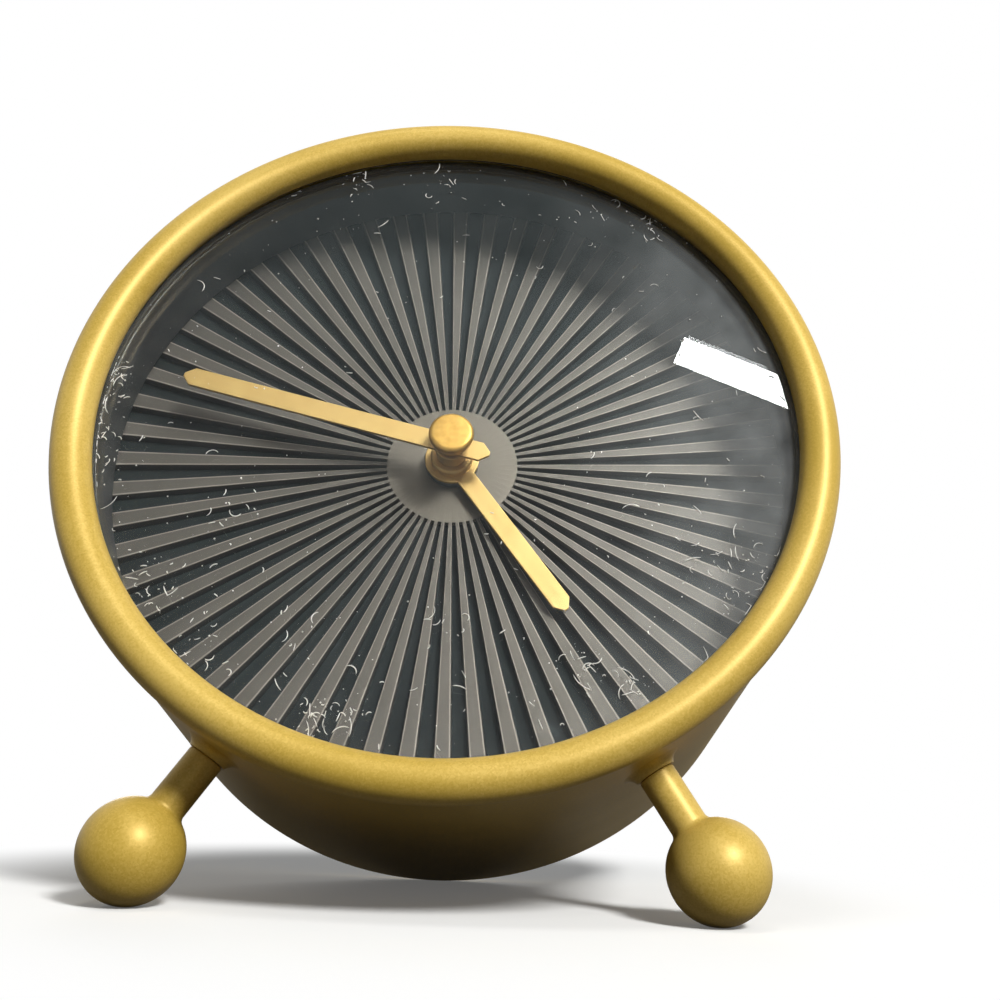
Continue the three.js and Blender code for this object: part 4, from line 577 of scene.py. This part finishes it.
def drum_wall():
    """The drum's wall as one closed section: outer wall, rounded rear edge, inner wall, ledge, front edge."""
    front = SEAM_DEPTH + GAP
    ledge_inner = DRUM_INNER - LEDGE_WIDTH
    ledge_back = LEDGE_DEPTH + LEDGE_THICKNESS
    corners = [
        [DRUM_INNER, front], [DRUM_RADIUS, front], [DRUM_RADIUS, DRUM_DEPTH], [DRUM_INNER, DRUM_DEPTH],
        [DRUM_INNER, ledge_back], [ledge_inner, ledge_back], [ledge_inner, LEDGE_DEPTH],
        [DRUM_INNER, LEDGE_DEPTH],
    ]
    section = rounded(corners, [0, 0.3, DRUM_REAR_ROUND, 0.25, 0, 0, 0, 0], 8, loop=True)
    return spun(section, CASE_SIDES, loop=True)


def leg_directions(side):
    """Along a leg, outwards from the drum's axis, and square to it across the dial."""
    along = np.array([side * math.sin(LEG_ANGLE), -math.cos(LEG_ANGLE), 0])
    across = np.array([math.cos(LEG_ANGLE), side * math.sin(LEG_ANGLE), 0])
    return along, across


def leg_boss(side):
    """A boss that swells out of the drum. At a distance d from the leg's axis it stands h(d) above the wall:
    flat to its edge, then a quarter circle down to the wall, and past that just below it. The wall itself
    lies at the square root of its radius squared less the sideways distance squared."""
    end = PARTING_RADIUS - GAP / 2 - DRUM_RADIUS
    sweep = math.degrees(math.acos((BOSS_FLARE - end) / BOSS_FLARE))
    flare = arc(0, BOSS_FLARE, BOSS_FLARE, 270 - sweep, 270, 14)
    flare[:, 0] += BOSS_RADIUS - flare[0, 0]
    low = flare[-1, 0]
    hole = [[0, -STUD_HOLE_IN_DRUM], [STUD_HOLE_RADIUS, -STUD_HOLE_IN_DRUM], [STUD_HOLE_RADIUS, end]]
    underside = [[low + 0.5, -0.03], [low + 0.7, -1.0], [0, -1.6]]
    section = np.vstack([hole, [[BOSS_RADIUS - 0.12, end]], flare - [0, 0.02], underside])
    turn = full_turn(120)
    distance, height = section[:, :1], section[:, 1:]
    sideways, deeper = distance * np.cos(turn), distance * np.sin(turn)
    out = np.sqrt(DRUM_RADIUS**2 - sideways**2) + height
    along, across = leg_directions(side)
    place = out[..., None] * along + sideways[..., None] * across
    place[..., 2] = LEG_DEPTH + deeper
    return skin(place)


def foot(side):
    """Stem and ball turned in one: a cylinder, a hollow fillet that touches both, and the ball's circle. The
    ball is cut level where it stands. A hairline is left open towards the boss, where the foot unscrews."""
    start = PARTING_RADIUS - GAP / 2 + PARTING_LINE
    hole_end = start + STUD_HOLE_IN_FOOT
    fillet_centre = STEM_RADIUS + STEM_FILLET
    reach = math.sqrt((BALL_RADIUS + STEM_FILLET) ** 2 - fillet_centre**2)
    angle = math.degrees(math.atan2(reach, fillet_centre))
    section = np.vstack([
        [[0, hole_end], [STUD_HOLE_RADIUS, hole_end], [STUD_HOLE_RADIUS, start]],
        arc(STEM_RADIUS - 0.15, start + 0.15, 0.15, -90, 0, 4),
        np.stack([np.full(8, STEM_RADIUS), np.linspace(start + 0.5, BALL_DISTANCE - reach - 0.3, 8)], -1),
        arc(fillet_centre, BALL_DISTANCE - reach, STEM_FILLET, 180, 180 - angle, 10),
        arc(0, BALL_DISTANCE, BALL_RADIUS, -angle, 90, 48)[1:],
    ])
    along, across = leg_directions(side)
    vertices, quads, fans = spun_along(section, np.array([0, 0, LEG_DEPTH]), along, across, 128)
    vertices[:, 2] = np.maximum(vertices[:, 2], 0)
    return vertices, quads, fans


def rod(x, y, radius, front, back, bevel=0.1, sides=48):
    """Round bar square to the dial with slightly rounded ends."""
    corners = [[0, front], [radius, front], [radius, back], [0, back]]
    return spun(rounded(corners, bevel, 3), sides, (x, y))


bearing = np.radians([0, 90, 180, 270])
drum_screws = [(SCREW_DISTANCE * math.cos(a), SCREW_DISTANCE * math.sin(a)) for a in bearing]
lug_end = FLANGE_FRONT - GAP
lugs = [rod(x, y, LUG_RADIUS, lug_end - LUG_LENGTH, lug_end) for x, y in drum_screws]
drum = [drum_wall(), leg_boss(-1), leg_boss(1), *lugs]
piece("drum_case", drum, gold, "clock_case", ["case_body"])
piece("front_lip", [lip_ring()], gold, "clock_case", ["bezel"])
piece("ball_foot_left", [foot(-1)], gold, "clock_case", ["left_leg"])
piece("ball_foot_right", [foot(1)], gold, "clock_case", ["right_leg"])


# Glass and dial

pane = rounded(
    [[0, GLASS_FRONT], [GLASS_RADIUS, GLASS_FRONT], [GLASS_RADIUS, GLASS_BACK], [0, GLASS_BACK]], 0.25, 3)
piece("clear_front_glass", [spun(pane)], glass, "clock_case", ["front_glass"])

seal = rounded([
    [SEAL_INNER, SEAL_FRONT], [GLASS_RADIUS, SEAL_FRONT], [GLASS_RADIUS, SEAL_BACK], [SEAL_INNER, SEAL_BACK],
], 0.2, 4, loop=True)
piece("glass_seal", [spun(seal, loop=True)], rubber, "clock_case", ["glass_gasket"])

dark_ring = rounded([
    [SEAL_INNER, RING_FRONT], [GLASS_RADIUS, RING_FRONT], [GLASS_RADIUS, SKIRT_END + GAP],
    [FITTED_RADIUS, SKIRT_END + GAP], [FITTED_RADIUS, DIAL_TOP - GAP], [RIM_INNER, DIAL_TOP - GAP],
], [0.2, 0.1, 0, 0.1, 0.1, 0.15], 4, loop=True)
piece("dark_spacer", [spun(dark_ring, loop=True)], black, "clock_case", ["spacer_ring"])


def ribbed_dial():
    """A flat plate whose depth is the top plus the groove's depth times two factors: how far an angle lies in
    a groove, nought on a rib's flat top and one past its sloped side, and how far a radius lies between the
    centre disc and the grooves' ends. The mark is the same second factor times a number that goes evenly from
    a small one on a rib's middle line to one in the middle of a groove, so it is nought on the disc alone."""
    pitch = 2 * np.pi / RIB_COUNT
    half_share = np.array([0.425, 0.45, 0.475, 0.545, 0.57, 0.60])
    share = np.concatenate([[-1], -half_share[::-1], [0], half_share])
    sunk = np.array([1, 1, 0.985, 0.86, 0.14, 0.015, 0, 0, 0, 0.015, 0.14, 0.86, 0.985, 1])
    angles = (np.arange(RIB_COUNT)[:, None] * pitch + share * pitch / 2).ravel() + np.pi / 2 + RIB_TURN
    soft_edge = np.array([0, 0.02, 0.14, 0.86, 0.98, 1])
    inner_end = DISC_RADIUS + np.array([-0.15, -0.04, 0, 0.05, 0.1, 0.25])
    outer_end = GROOVE_END + np.array([-0.22, -0.09, -0.04, 0, 0.04, 0.13])
    between = np.arange(15, 50, 5)
    hole = np.array([POST_HOLE, POST_HOLE, POST_HOLE + 0.1, 6])
    edge = np.array([FITTED_RADIUS - 0.1, FITTED_RADIUS, FITTED_RADIUS])
    radius = np.concatenate([hole, inner_end, between, outer_end, edge])
    open_share = np.concatenate([0 * hole, soft_edge, 1 + 0 * between, soft_edge[::-1], 0 * edge])
    base = np.full(len(radius), DIAL_TOP)
    base[[0, -1]] = DIAL_BACK
    base[[1, -2]] = DIAL_TOP + 0.1
    depth = base[:, None] + (GROOVE_FLOOR - DIAL_TOP) * open_share[:, None] * np.tile(sunk, RIB_COUNT)
    mark = open_share[:, None] * (RIB_MARK + (1 - RIB_MARK) * np.tile(np.abs(share), RIB_COUNT))
    x, y = radius[:, None] * np.cos(angles), radius[:, None] * np.sin(angles)
    return skin(np.stack([x, y, depth], -1), loop=True), mark


dial_plate, rib_mark = ribbed_dial()
dial_bosses = [
    rod(side * EAR_X, 0, EAR_RADIUS, GROOVE_FLOOR + GAP, DIAL_BACK + EAR_LENGTH) for side in (-1, 1)]
dial = piece("ribbed_dial", [dial_plate, *dial_bosses], dial_finish, "clock_case", ["dial"], 28)
marks = np.zeros(len(dial.data.vertices), np.float32)
marks[: rib_mark.size] = rib_mark.ravel()
dial.data.attributes.new(ACROSS_RIB, "FLOAT", "POINT").data.foreach_set("value", marks)


# Hands


def blade_outline(length, tail, width, hub=0.0):
    """A baton along +y with both ends cut to a blunt point, its corners slightly round. With a hub the
    outline is the farther of baton and hub circle at each angle, so it is star-shaped about the centre."""
    half, tip = width / 2, TIP_HALF_WIDTH
    shoulder, low_shoulder = length - TIP_CUT, TIP_CUT - tail
    outline = rounded([
        [half, low_shoulder], [half, shoulder], [tip, length], [-tip, length], [-half, shoulder],
        [-half, low_shoulder], [-tip, -tail], [tip, -tail],
    ], 0.14, 4, loop=True)
    if hub:
        outline = dense(outline, 40)
        angles = np.unique(np.concatenate([bearings(outline), full_turn(180)]))
        reach = np.maximum(outline_radius(outline, angles), hub)
        outline = np.stack([reach * np.cos(angles), reach * np.sin(angles)], -1)
    return outline


def collar(corners, radii):
    """Turned ring whose closed section goes through the given [radius, depth] corners."""
    return spun(rounded(corners, radii, 4, loop=True), 96, loop=True)


hour_turn = partial(spin_points, angle=HOUR_ANGLE)
hour_outline = blade_outline(length=29.65, tail=2.0, width=2.95, hub=4.1)
hour_blade = slab(hour_outline, 16.6, 17.1, 0.1, hole=2.6, to_clock=hour_turn)
# The thin inner lip covers the end of the white pipe that carries the hand
hour_collar = collar(
    [[1.62, 15.34], [2.95, 15.34], [3.2, 15.6], [3.2, 16.7], [2.6, 16.7], [2.6, 15.46], [1.62, 15.46]],
    [0.03, 0.12, 0.12, 0.05, 0.05, 0.02, 0.03])
piece("hour_baton", [hour_blade, hour_collar], gilt, "hour_hand_unit", ["hour_hand"])

minute_turn = partial(spin_points, angle=MINUTE_ANGLE)
minute_outline = blade_outline(length=42.55, tail=5.9, width=3.1)
minute_blade = slab(minute_outline, 12.2, 12.7, 0.1, to_clock=minute_turn)
minute_collar = collar(
    [[1.6, 12.6], [2.5, 12.6], [2.5, 13.6], [2.3, 13.8], [2.3, 15.2], [1.6, 15.2]],
    [0.05, 0.16, 0.16, 0.16, 0.16, 0.05])
piece("minute_baton", [minute_blade, minute_collar], gilt, "minute_hand_unit", ["minute_hand"])

cap_section = np.vstack([
    [[0, 8.72], [1.2, 8.705]], arc(2.62, 9.38, 0.68, -90, 0, 8), arc(2.7, 9.6, 0.6, 0, 90, 8),
    [[2.3, 10.2], [2.3, 11.25], [2.12, 11.35], [2.12, 11.5], [2.3, 11.6], [2.3, 11.9], [1.6, 11.9]],
    [[1.6, 9.4], [0, 9.4]],
])
piece("cap_nut_turned", [spun(cap_section, 128)], turned_gilt, "minute_hand_unit", ["cap_nut"])


# Lint on the glass

LINT_REACH = 49.2
# Directions of the four points of a ring round a fibre or a speck
RING_ACROSS = np.array([1, 0, -1, 0])
RING_UP = np.array([0, 1, 0, -1])
# Tangles that the photograph shows, as bearing from the right in degrees, distance, spread and number
LINT_TANGLES = [
    (253, 46.5, 1.5, 26), (257, 45, 1.2, 10), (174, 49, 1.2, 22), (179, 48.6, 1, 14), (186, 48.6, 1.2, 14),
    (193, 47.5, 2, 12), (213, 46, 2, 10), (219, 46.5, 1.6, 12), (231, 46, 2, 12), (245, 38, 2.5, 8),
    (272, 31, 1.8, 8), (298, 41, 1.8, 14), (303, 46, 1.5, 10), (112, 47.6, 1.4, 12), (95, 45, 2.5, 8),
    (61, 44, 2, 8), (52, 47, 1.8, 14), (329, 40, 2.5, 8), (334, 46.5, 2.2, 16), (326, 47, 1.8, 12),
    (214, 34, 3, 6),
]


def scattered(random, loose):
    """Places on the glass: loose ones, which lie closer together towards the lip, and the tangles' own."""
    distance = LINT_REACH * random.uniform(0.02, 1, loose) ** 0.3
    bearing = random.uniform(0, 2 * np.pi, loose)
    x, y = [distance * np.cos(bearing)], [distance * np.sin(bearing)]
    for degrees, reach, spread, count in LINT_TANGLES:
        x.append(reach * math.cos(math.radians(degrees)) + random.normal(0, spread, count))
        y.append(reach * math.sin(math.radians(degrees)) + random.normal(0, spread, count))
    return np.concatenate(x), np.concatenate(y)


def lint_fibres():
    """Loose fibres that lie on the glass: each is an arc whose heading turns steadily along its length,
    thickened to a four-sided thread that thins out at its ends. Real ones are 0.02 mm thick; these are
    thick enough to show."""
    random = np.random.default_rng(7)
    x, y = scattered(random, 110)
    count, steps = len(x), 9
    length = random.gamma(2.2, 0.5, count).clip(0.3, 3.2)
    heading = random.uniform(0, 2 * np.pi, count)
    curl = random.normal(0, 1.7, count)
    thickness = random.uniform(0.045, 0.085, count)
    along = np.linspace(0, 1, steps)
    turning = heading[:, None] + curl[:, None] * along
    stride = (length / (steps - 1))[:, None]
    x = x[:, None] + np.cumsum(np.cos(turning) * stride, 1)
    y = y[:, None] + np.cumsum(np.sin(turning) * stride, 1)
    pull = np.minimum(1, LINT_REACH / np.hypot(x, y))
    thread = thickness[:, None] * np.sin(np.pi * (0.12 + 0.76 * along)) ** 0.5
    offset, lift = thread[..., None] * RING_ACROSS, thread[..., None] * RING_UP
    grids = np.stack([
        (x * pull)[..., None] - np.sin(turning)[..., None] * offset,
        (y * pull)[..., None] + np.cos(turning)[..., None] * offset,
        GLASS_FRONT - 0.08 - lift,
    ], -1)
    return [skin(grid) for grid in grids]


def dust_specks():
    """Specks of dust between the fibres: eight-sided grains, each a ring of four points between two poles."""
    random = np.random.default_rng(11)
    x, y = scattered(random, 320)
    size = random.gamma(2, 0.03, len(x)).clip(0.03, 0.15)[:, None, None]
    pull = np.minimum(1, LINT_REACH / np.hypot(x, y))
    width = np.array([[0], [1], [0]])
    height = np.array([[1], [0], [-1]])
    grids = np.stack(np.broadcast_arrays(
        (x * pull)[:, None, None] + size * width * RING_ACROSS,
        (y * pull)[:, None, None] + size * width * RING_UP,
        GLASS_FRONT - 0.03 - size * (1 + 0.6 * height),
    ), -1)
    return [skin(grid) for grid in grids]


piece("glass_lint", lint_fibres() + dust_specks(), lint, "clock_case", sharp=180)


# Back

ALONG_X = (np.array([1.0, 0, 0]), np.array([0, 1.0, 0]))


def housing_outline(margin):
    """The movement housing's outline grown by a margin."""
    low, high = CAVITY_LOW - margin, CAVITY_HIGH + margin
    return rounded_box(CAVITY_HALF + margin, low, high, CAVITY_CORNER + margin, 10)


def recess_angles():
    """Angles of the columns round the cover: evenly spaced ones and those of the recess's round corners."""
    angles = np.concatenate([bearings(housing_outline(RECESS_MARGIN)), full_turn(240)])
    return np.unique(np.round(angles, 5))


def tub_outline(margin, angles):
    """Distance to the housing's outline grown by a margin, at each angle."""
    return outline_radius(dense(housing_outline(margin), 60), angles)


def back_plate():
    """Round plate whose middle sinks into a tub: at each angle the section runs from the tub's underside up
    its outer wall, out along the flange, round its edge, back in to the recess and down to its floor."""
    angles = recess_angles()
    circle = np.ones_like(angles)
    tub = tub_outline(TUB_MARGIN, angles)
    rows = [
        (0 * circle, COVER_FRONT), (tub_outline(TUB_MARGIN - 0.4, angles), COVER_FRONT),
        (tub, COVER_FRONT + 0.4), (tub, FLANGE_FRONT),
    ]
    inside = 40
    flange = [
        [inside, FLANGE_FRONT], [FITTED_RADIUS, FLANGE_FRONT], [FITTED_RADIUS, FLANGE_BACK],
        [inside, FLANGE_BACK],
    ]
    rows += [(radius * circle, depth) for radius, depth in rounded(flange, [0, 0.2, 0.5, 0])[1:-1]]
    recess = [[4, FLANGE_BACK], [0, FLANGE_BACK], [0, COVER_FLOOR], [-4, COVER_FLOOR]]
    for grow, depth in rounded(recess, [0, 0.9, 1.1, 0], 6)[1:-1]:
        rows.append((tub_outline(RECESS_MARGIN + grow, angles), depth))
    rows.append((0 * circle, COVER_FLOOR))
    radius = np.stack([reach for reach, _ in rows])
    depth = np.array([level for _, level in rows])[:, None] + 0 * radius
    return skin(np.stack([radius * np.cos(angles), radius * np.sin(angles), depth], -1))


def countersink(x, y):
    """Cutter for a screw: a shank hole and a cone that opens towards the back."""
    front, back = FLANGE_FRONT - 1, FLANGE_BACK + 1
    section = [
        [0, front], [1.35, front], [1.35, FLANGE_BACK - SCREW_CONE], [2.55, FLANGE_BACK], [2.55, back],
        [0, back],
    ]
    return spun(section, 48, (x, y))


through = (COVER_FRONT - 1, COVER_FLOOR + 1)
door_edge = rounded_box(CAVITY_HALF + GAP, DOOR_LOW - GAP, DOOR_HIGH + GAP, 0.5, 3)
cutters = [
    slab(door_edge, *through, 0.01),
    rod(0, DOOR_HIGH, 5.0, COVER_FLOOR - 1.4, COVER_FLOOR + 1, 0.3, 64),
    rod(KNOB_X, KNOB_Y, 3.0, *through, 0.01, 64),
    *[countersink(x, y) for x, y in drum_screws],
]
cover = carved("back_plate", [back_plate()], cutters)
piece("moulded_back", cover, black, "clock_case", ["back_cover"])


def laid_along_x(grid):
    """Puts a plate's outline on y and depth and its thickness on x."""
    return np.stack([grid[..., 2], grid[..., 0], grid[..., 1]], -1)


def door():
    """Panel whose section is a bar with one fully round end, the hinge, drawn along x, with a pin at each end
    and four low ridges for a fingertip."""
    half = DOOR_THICKNESS / 2
    hinge_y, middle, front = DOOR_LOW + half, COVER_FLOOR - half, COVER_FLOOR - DOOR_THICKNESS
    bar = [[0, front], [DOOR_HIGH, front], [DOOR_HIGH, COVER_FLOOR], [0, COVER_FLOOR]]
    section = np.vstack([
        arc(hinge_y, middle, half, 90, 270, 14), rounded(bar, [0, 0.25, 0.35, 0], 4)[1:-1]])
    panel = slab(section, -CAVITY_HALF, CAVITY_HALF, 0.25, to_clock=laid_along_x)
    reach, pin_radius = 28.0, 0.6
    pins = spun_along(
        [[0, -reach], [pin_radius, -reach], [pin_radius, reach], [0, reach]],
        np.array([0, hinge_y, middle]), *ALONG_X, 32)
    ridges = []
    for i in range(4):
        y = DOOR_HIGH - 1.4 - 1.1 * i
        ridge = rounded_box(7.0, y - 0.22, y + 0.22, 0.2, 4)
        ridges.append(slab(ridge, COVER_FLOOR - 0.2, COVER_FLOOR + 0.22, 0.12))
    return [panel, pins, *ridges]


piece("battery_hatch", door(), black, "battery_door_unit", ["battery_door"])


def knurled_knob():
    """Turned knob with a dished face, whose radius swings in and out with the cosine of its teeth's turn."""
    turn = full_turn(KNOB_TEETH * 8)
    front, back = COVER_FLOOR + GAP, COVER_FLOOR + GAP + KNOB_LENGTH
    dish = back - 0.5
    section = rounded([
        [0, front], [KNOB_RADIUS, front], [KNOB_RADIUS, back], [3.9, back], [3.3, dish], [0, dish],
    ], [0, 0.3, 0.45, 0.15, 0.3, 0])
    tooth = 0.5 * (1 - np.cos(KNOB_TEETH * turn))
    on_rim = np.clip((section[:, :1] - 4.9) / 0.3, 0, 1)
    radius = section[:, :1] - 0.32 * on_rim * tooth
    x, y = KNOB_X + radius * np.cos(turn), KNOB_Y + radius * np.sin(turn)
    return skin(np.stack([x, y, section[:, 1:] + 0 * x], -1))


knob_shaft = rod(KNOB_X, KNOB_Y, 1.5, 24, COVER_FLOOR + 0.6)
piece("knurled_set_knob", [knurled_knob(), knob_shaft], black, "setting_knob_unit",
      ["setting_knob"], 50)


def countersunk_screw(x, y):
    """Shank, cone and a nearly flat head."""
    section = [
        [0, FLANGE_BACK - 8], [1.25, FLANGE_BACK - 7.8], [1.25, FLANGE_BACK - SCREW_CONE],
        [2.35, FLANGE_BACK - 0.08], [2.2, FLANGE_BACK], [0, FLANGE_BACK],
    ]
    return spun(section, 48, (x, y))


def cross_recess(x, y, turn):
    """Cutters for a cross recess: two bars, square to each other, that narrow with depth."""
    bars = []
    for angle in (turn, turn + math.pi / 2):
        c, s = math.cos(angle), math.sin(angle)
        grid = []
        for depth, long, wide in ((FLANGE_BACK - 1.1, 0.4, 0.18), (FLANGE_BACK + 0.3, 1.45, 0.34)):
            across, up = np.array([[long, wide], [-long, wide], [-long, -wide], [long, -wide]]).T
            grid.append(np.stack([x + across * c - up * s, y + across * s + up * c, np.full(4, depth)], -1))
        first, last = (np.repeat(ring.mean(0)[None], 4, 0) for ring in grid)
        bars.append(skin(np.array([first, *grid, last])))
    return bars


turns = [0.3, 1.1, 0.7, 0.05]
screw_meshes = [
    carved(f"screw_{i}", [countersunk_screw(x, y)], cross_recess(x, y, turn))
    for i, ((x, y), turn) in enumerate(zip(drum_screws, turns))
]
for i, mesh in enumerate(screw_meshes):
    piece(f"cross_head_screw_{i + 1}", mesh, steel, "clock_case", [f"cover_screw_{i + 1}"])


def battery_can():
    """Cylinder along x with rounded shoulders, a nub at the plus end and a shallow ring at the minus end."""
    left, right = -24.8, 23.8
    section = rounded([
        [0, left + 0.15], [4.5, left + 0.15], [4.7, left], [BATTERY_RADIUS, left], [BATTERY_RADIUS, right],
        [2.6, right], [2.6, right + 1.0], [0, right + 1.0],
    ], [0, 0.1, 0.1, 0.5, 0.5, 0.15, 0.3, 0])
    return spun_along(section, np.array([0, BATTERY_Y, BATTERY_DEPTH]), *ALONG_X)


piece("battery_cell", [battery_can()], sleeve, "clock_case", ["battery"])


# Camera: its place and turn in the clock's own frame come from a fit to the photograph's viewing angle.

CAMERA_PLACE = (6.483, -85.039, -129.187)
CAMERA_TURN = (-0.50155, -0.02657, 0.03619)
FOCAL_PIXELS = 1106.374
IMAGE_SIZE = 1000
SENSOR_MM = 36
CENTRE_PIXEL = (511.657, 492.52)


def add_camera():
    """The fitted turn gives the camera's right, down and forward directions with y up and z towards the
    viewer. Each is turned to the row frame, and the camera's own axes are right, up and backwards."""
    turn = Vector(CAMERA_TURN)
    fitted = np.array(Matrix.Rotation(turn.length, 3, turn.normalized())) @ np.diag([1, -1, -1])
    directions = fitted * [1, 1, -1]
    turned = (row(directions) - row(np.zeros(3))) / MM
    pose = np.eye(4)
    pose[:3, 0], pose[:3, 1], pose[:3, 2] = turned[0], -turned[1], -turned[2]
    pose[:3, 3] = row(CAMERA_PLACE)
    data = bpy.data.cameras.new("photo_camera")
    data.sensor_width = SENSOR_MM
    data.lens = FOCAL_PIXELS / IMAGE_SIZE * SENSOR_MM
    data.shift_x = 0.5 - CENTRE_PIXEL[0] / IMAGE_SIZE
    data.shift_y = CENTRE_PIXEL[1] / IMAGE_SIZE - 0.5
    data.clip_start = 0.005
    data.clip_end = 20
    camera = bpy.data.objects.new("photo_camera", data)
    camera.matrix_world = Matrix(pose.tolist())
    bpy.context.scene.collection.objects.link(camera)
    bpy.context.scene.camera = camera


add_camera()


# Floor, light and background

FLOOR_HALF = 3.0
FLOOR_MIRRORED = 0.25
CEILING_DIRECTION = (0.0, -0.45, 0.89)
WINDOW_SLANT = math.radians(-34.3)


def seen_directly(tree, mirrored=1.0):
    """One for rays from the camera or through glass, a share of it for rays from a glossy surface, and nought
    for scattered light."""
    path = add(tree, "LightPath").outputs
    glossy = add(tree, "Math", {"operation": "MULTIPLY", 1: mirrored}, {0: path["Is Glossy Ray"]})
    first = add(tree, "Math", {"operation": "MAXIMUM"}, {0: path["Is Camera Ray"], 1: glossy})
    return add(tree, "Math", {"operation": "MAXIMUM"}, {0: first, 1: path["Is Transmission Ray"]})


def add_floor():
    """Wide flat sheet of pale board. It keeps the clock's shadow, and turns to plain white with the distance
    from the clock, so that it has no horizon. The light that it scatters back up is that of a darker table,
    and glossy surfaces see a quarter of the white and the rest of the table, so that the drum's underside
    keeps its shade."""
    half = FLOOR_HALF
    mesh = bpy.data.meshes.new("floor")
    sheet = [(-half, -half, 0), (half, -half, 0), (half, half, 0), (-half, half, 0)]
    mesh.from_pydata(sheet, [], [(0, 1, 2, 3)])
    material, tree, place = start_material("pale_floor_board")
    distance = add(tree, "VectorMath", {"operation": "LENGTH"}, {0: place}).outputs["Value"]
    plain = add(tree, "MapRange", {
        "interpolation_type": "SMOOTHSTEP", "From Min": 0.05, "From Max": 0.095, "To Min": 0.1},
        {"Value": distance})
    board = add(tree, "BsdfDiffuse", {"Color": linear("#F6F6F4")})
    white_light = add(tree, "Emission", {"Color": linear("#FFFFFF"), "Strength": 1.0})
    table = add(tree, "BsdfDiffuse", {"Color": linear("#48443E")})
    look = add(tree, "MixShader", links={0: plain, 1: board, 2: white_light})
    seen = seen_directly(tree, FLOOR_MIRRORED)
    both = add(tree, "MixShader", links={0: seen, 1: table, 2: look})
    add(tree, "OutputMaterial", links={"Surface": both})
    mesh.materials.append(material)
    floor = bpy.data.objects.new("floor", mesh)
    bpy.context.scene.collection.objects.link(floor)


def add_world():
    """White all round to the camera. Glossy surfaces mirror that white too, apart from a dark ceiling before
    the clock, which shows in the glass. The scattered light is soft and even."""
    world = bpy.data.worlds.new("studio")
    bpy.context.scene.world = world
    world.use_nodes = True
    tree = world.node_tree
    tree.nodes.clear()
    direction = add(tree, "TexCoord").outputs["Generated"]
    towards = add(tree, "VectorMath", {
        "operation": "DOT_PRODUCT", 1: CEILING_DIRECTION}, {0: direction}).outputs["Value"]
    room = add(tree, "ValToRGB", {"stops": [
        (0.62, "#FFFFFF"), (0.86, "#4A4D50"), (0.93, "#4A4D50"), (0.995, "#98A6A8")]}, {"Fac": towards})
    mirrored = add(tree, "Background", {"Strength": 1.0}, {"Color": room})
    plain = add(tree, "Background", {"Color": linear("#FFFFFF"), "Strength": 1.0})
    soft = add(tree, "Background", {"Color": linear("#EEF2F6"), "Strength": 0.09})
    around = add(tree, "MixShader", links={0: seen_directly(tree), 1: soft, 2: mirrored})
    camera_ray = add(tree, "LightPath").outputs["Is Camera Ray"]
    both = add(tree, "MixShader", links={0: camera_ray, 1: around, 2: plain})
    add(tree, "OutputWorld", links={"Surface": both})


def add_lamp(name, place, aim, width, height, power, shape="RECTANGLE", roll=0.0):
    """Flat lamp that faces the point it is aimed at, turned about its own axis by the roll."""
    data = bpy.data.lights.new(name, "AREA")
    data.shape = shape
    data.size, data.size_y = width, height
    data.energy = power
    lamp = bpy.data.objects.new(name, data)
    facing = (Vector(aim) - Vector(place)).to_track_quat("-Z", "Y").to_matrix().to_4x4()
    lamp.matrix_world = Matrix.Translation(place) @ facing @ Matrix.Rotation(roll, 4, "Z")
    bpy.context.scene.collection.objects.link(lamp)


add_floor()
add_world()
add_lamp("key", (0.40, -0.69, 0.62), (0, -0.02, 0.06), 0.2, 0.24, 11.5, "ELLIPSE")
add_lamp("top", (-0.1, -0.3, 0.95), (0, 0, 0.06), 0.3, 0.3, 1.4, "ELLIPSE")
add_lamp("back", (-0.1, 0.9, 0.22), (0, 0.05, 0.06), 0.8, 0.4, 4.6, "ELLIPSE")
# The narrow window that the glass mirrors on the right, aimed at its image's place on the glass
window_place = row((240.0, 516.0, -712.0))
window_aim = row((42.0, 10.0, GLASS_FRONT))
add_lamp("window", window_place, window_aim, 0.135, 0.026, 0.5, roll=WINDOW_SLANT)
bpy.context.scene.view_settings.view_transform = "Standard"


def corners(box):
    return [[float(v) for v in corner] for corner in box]
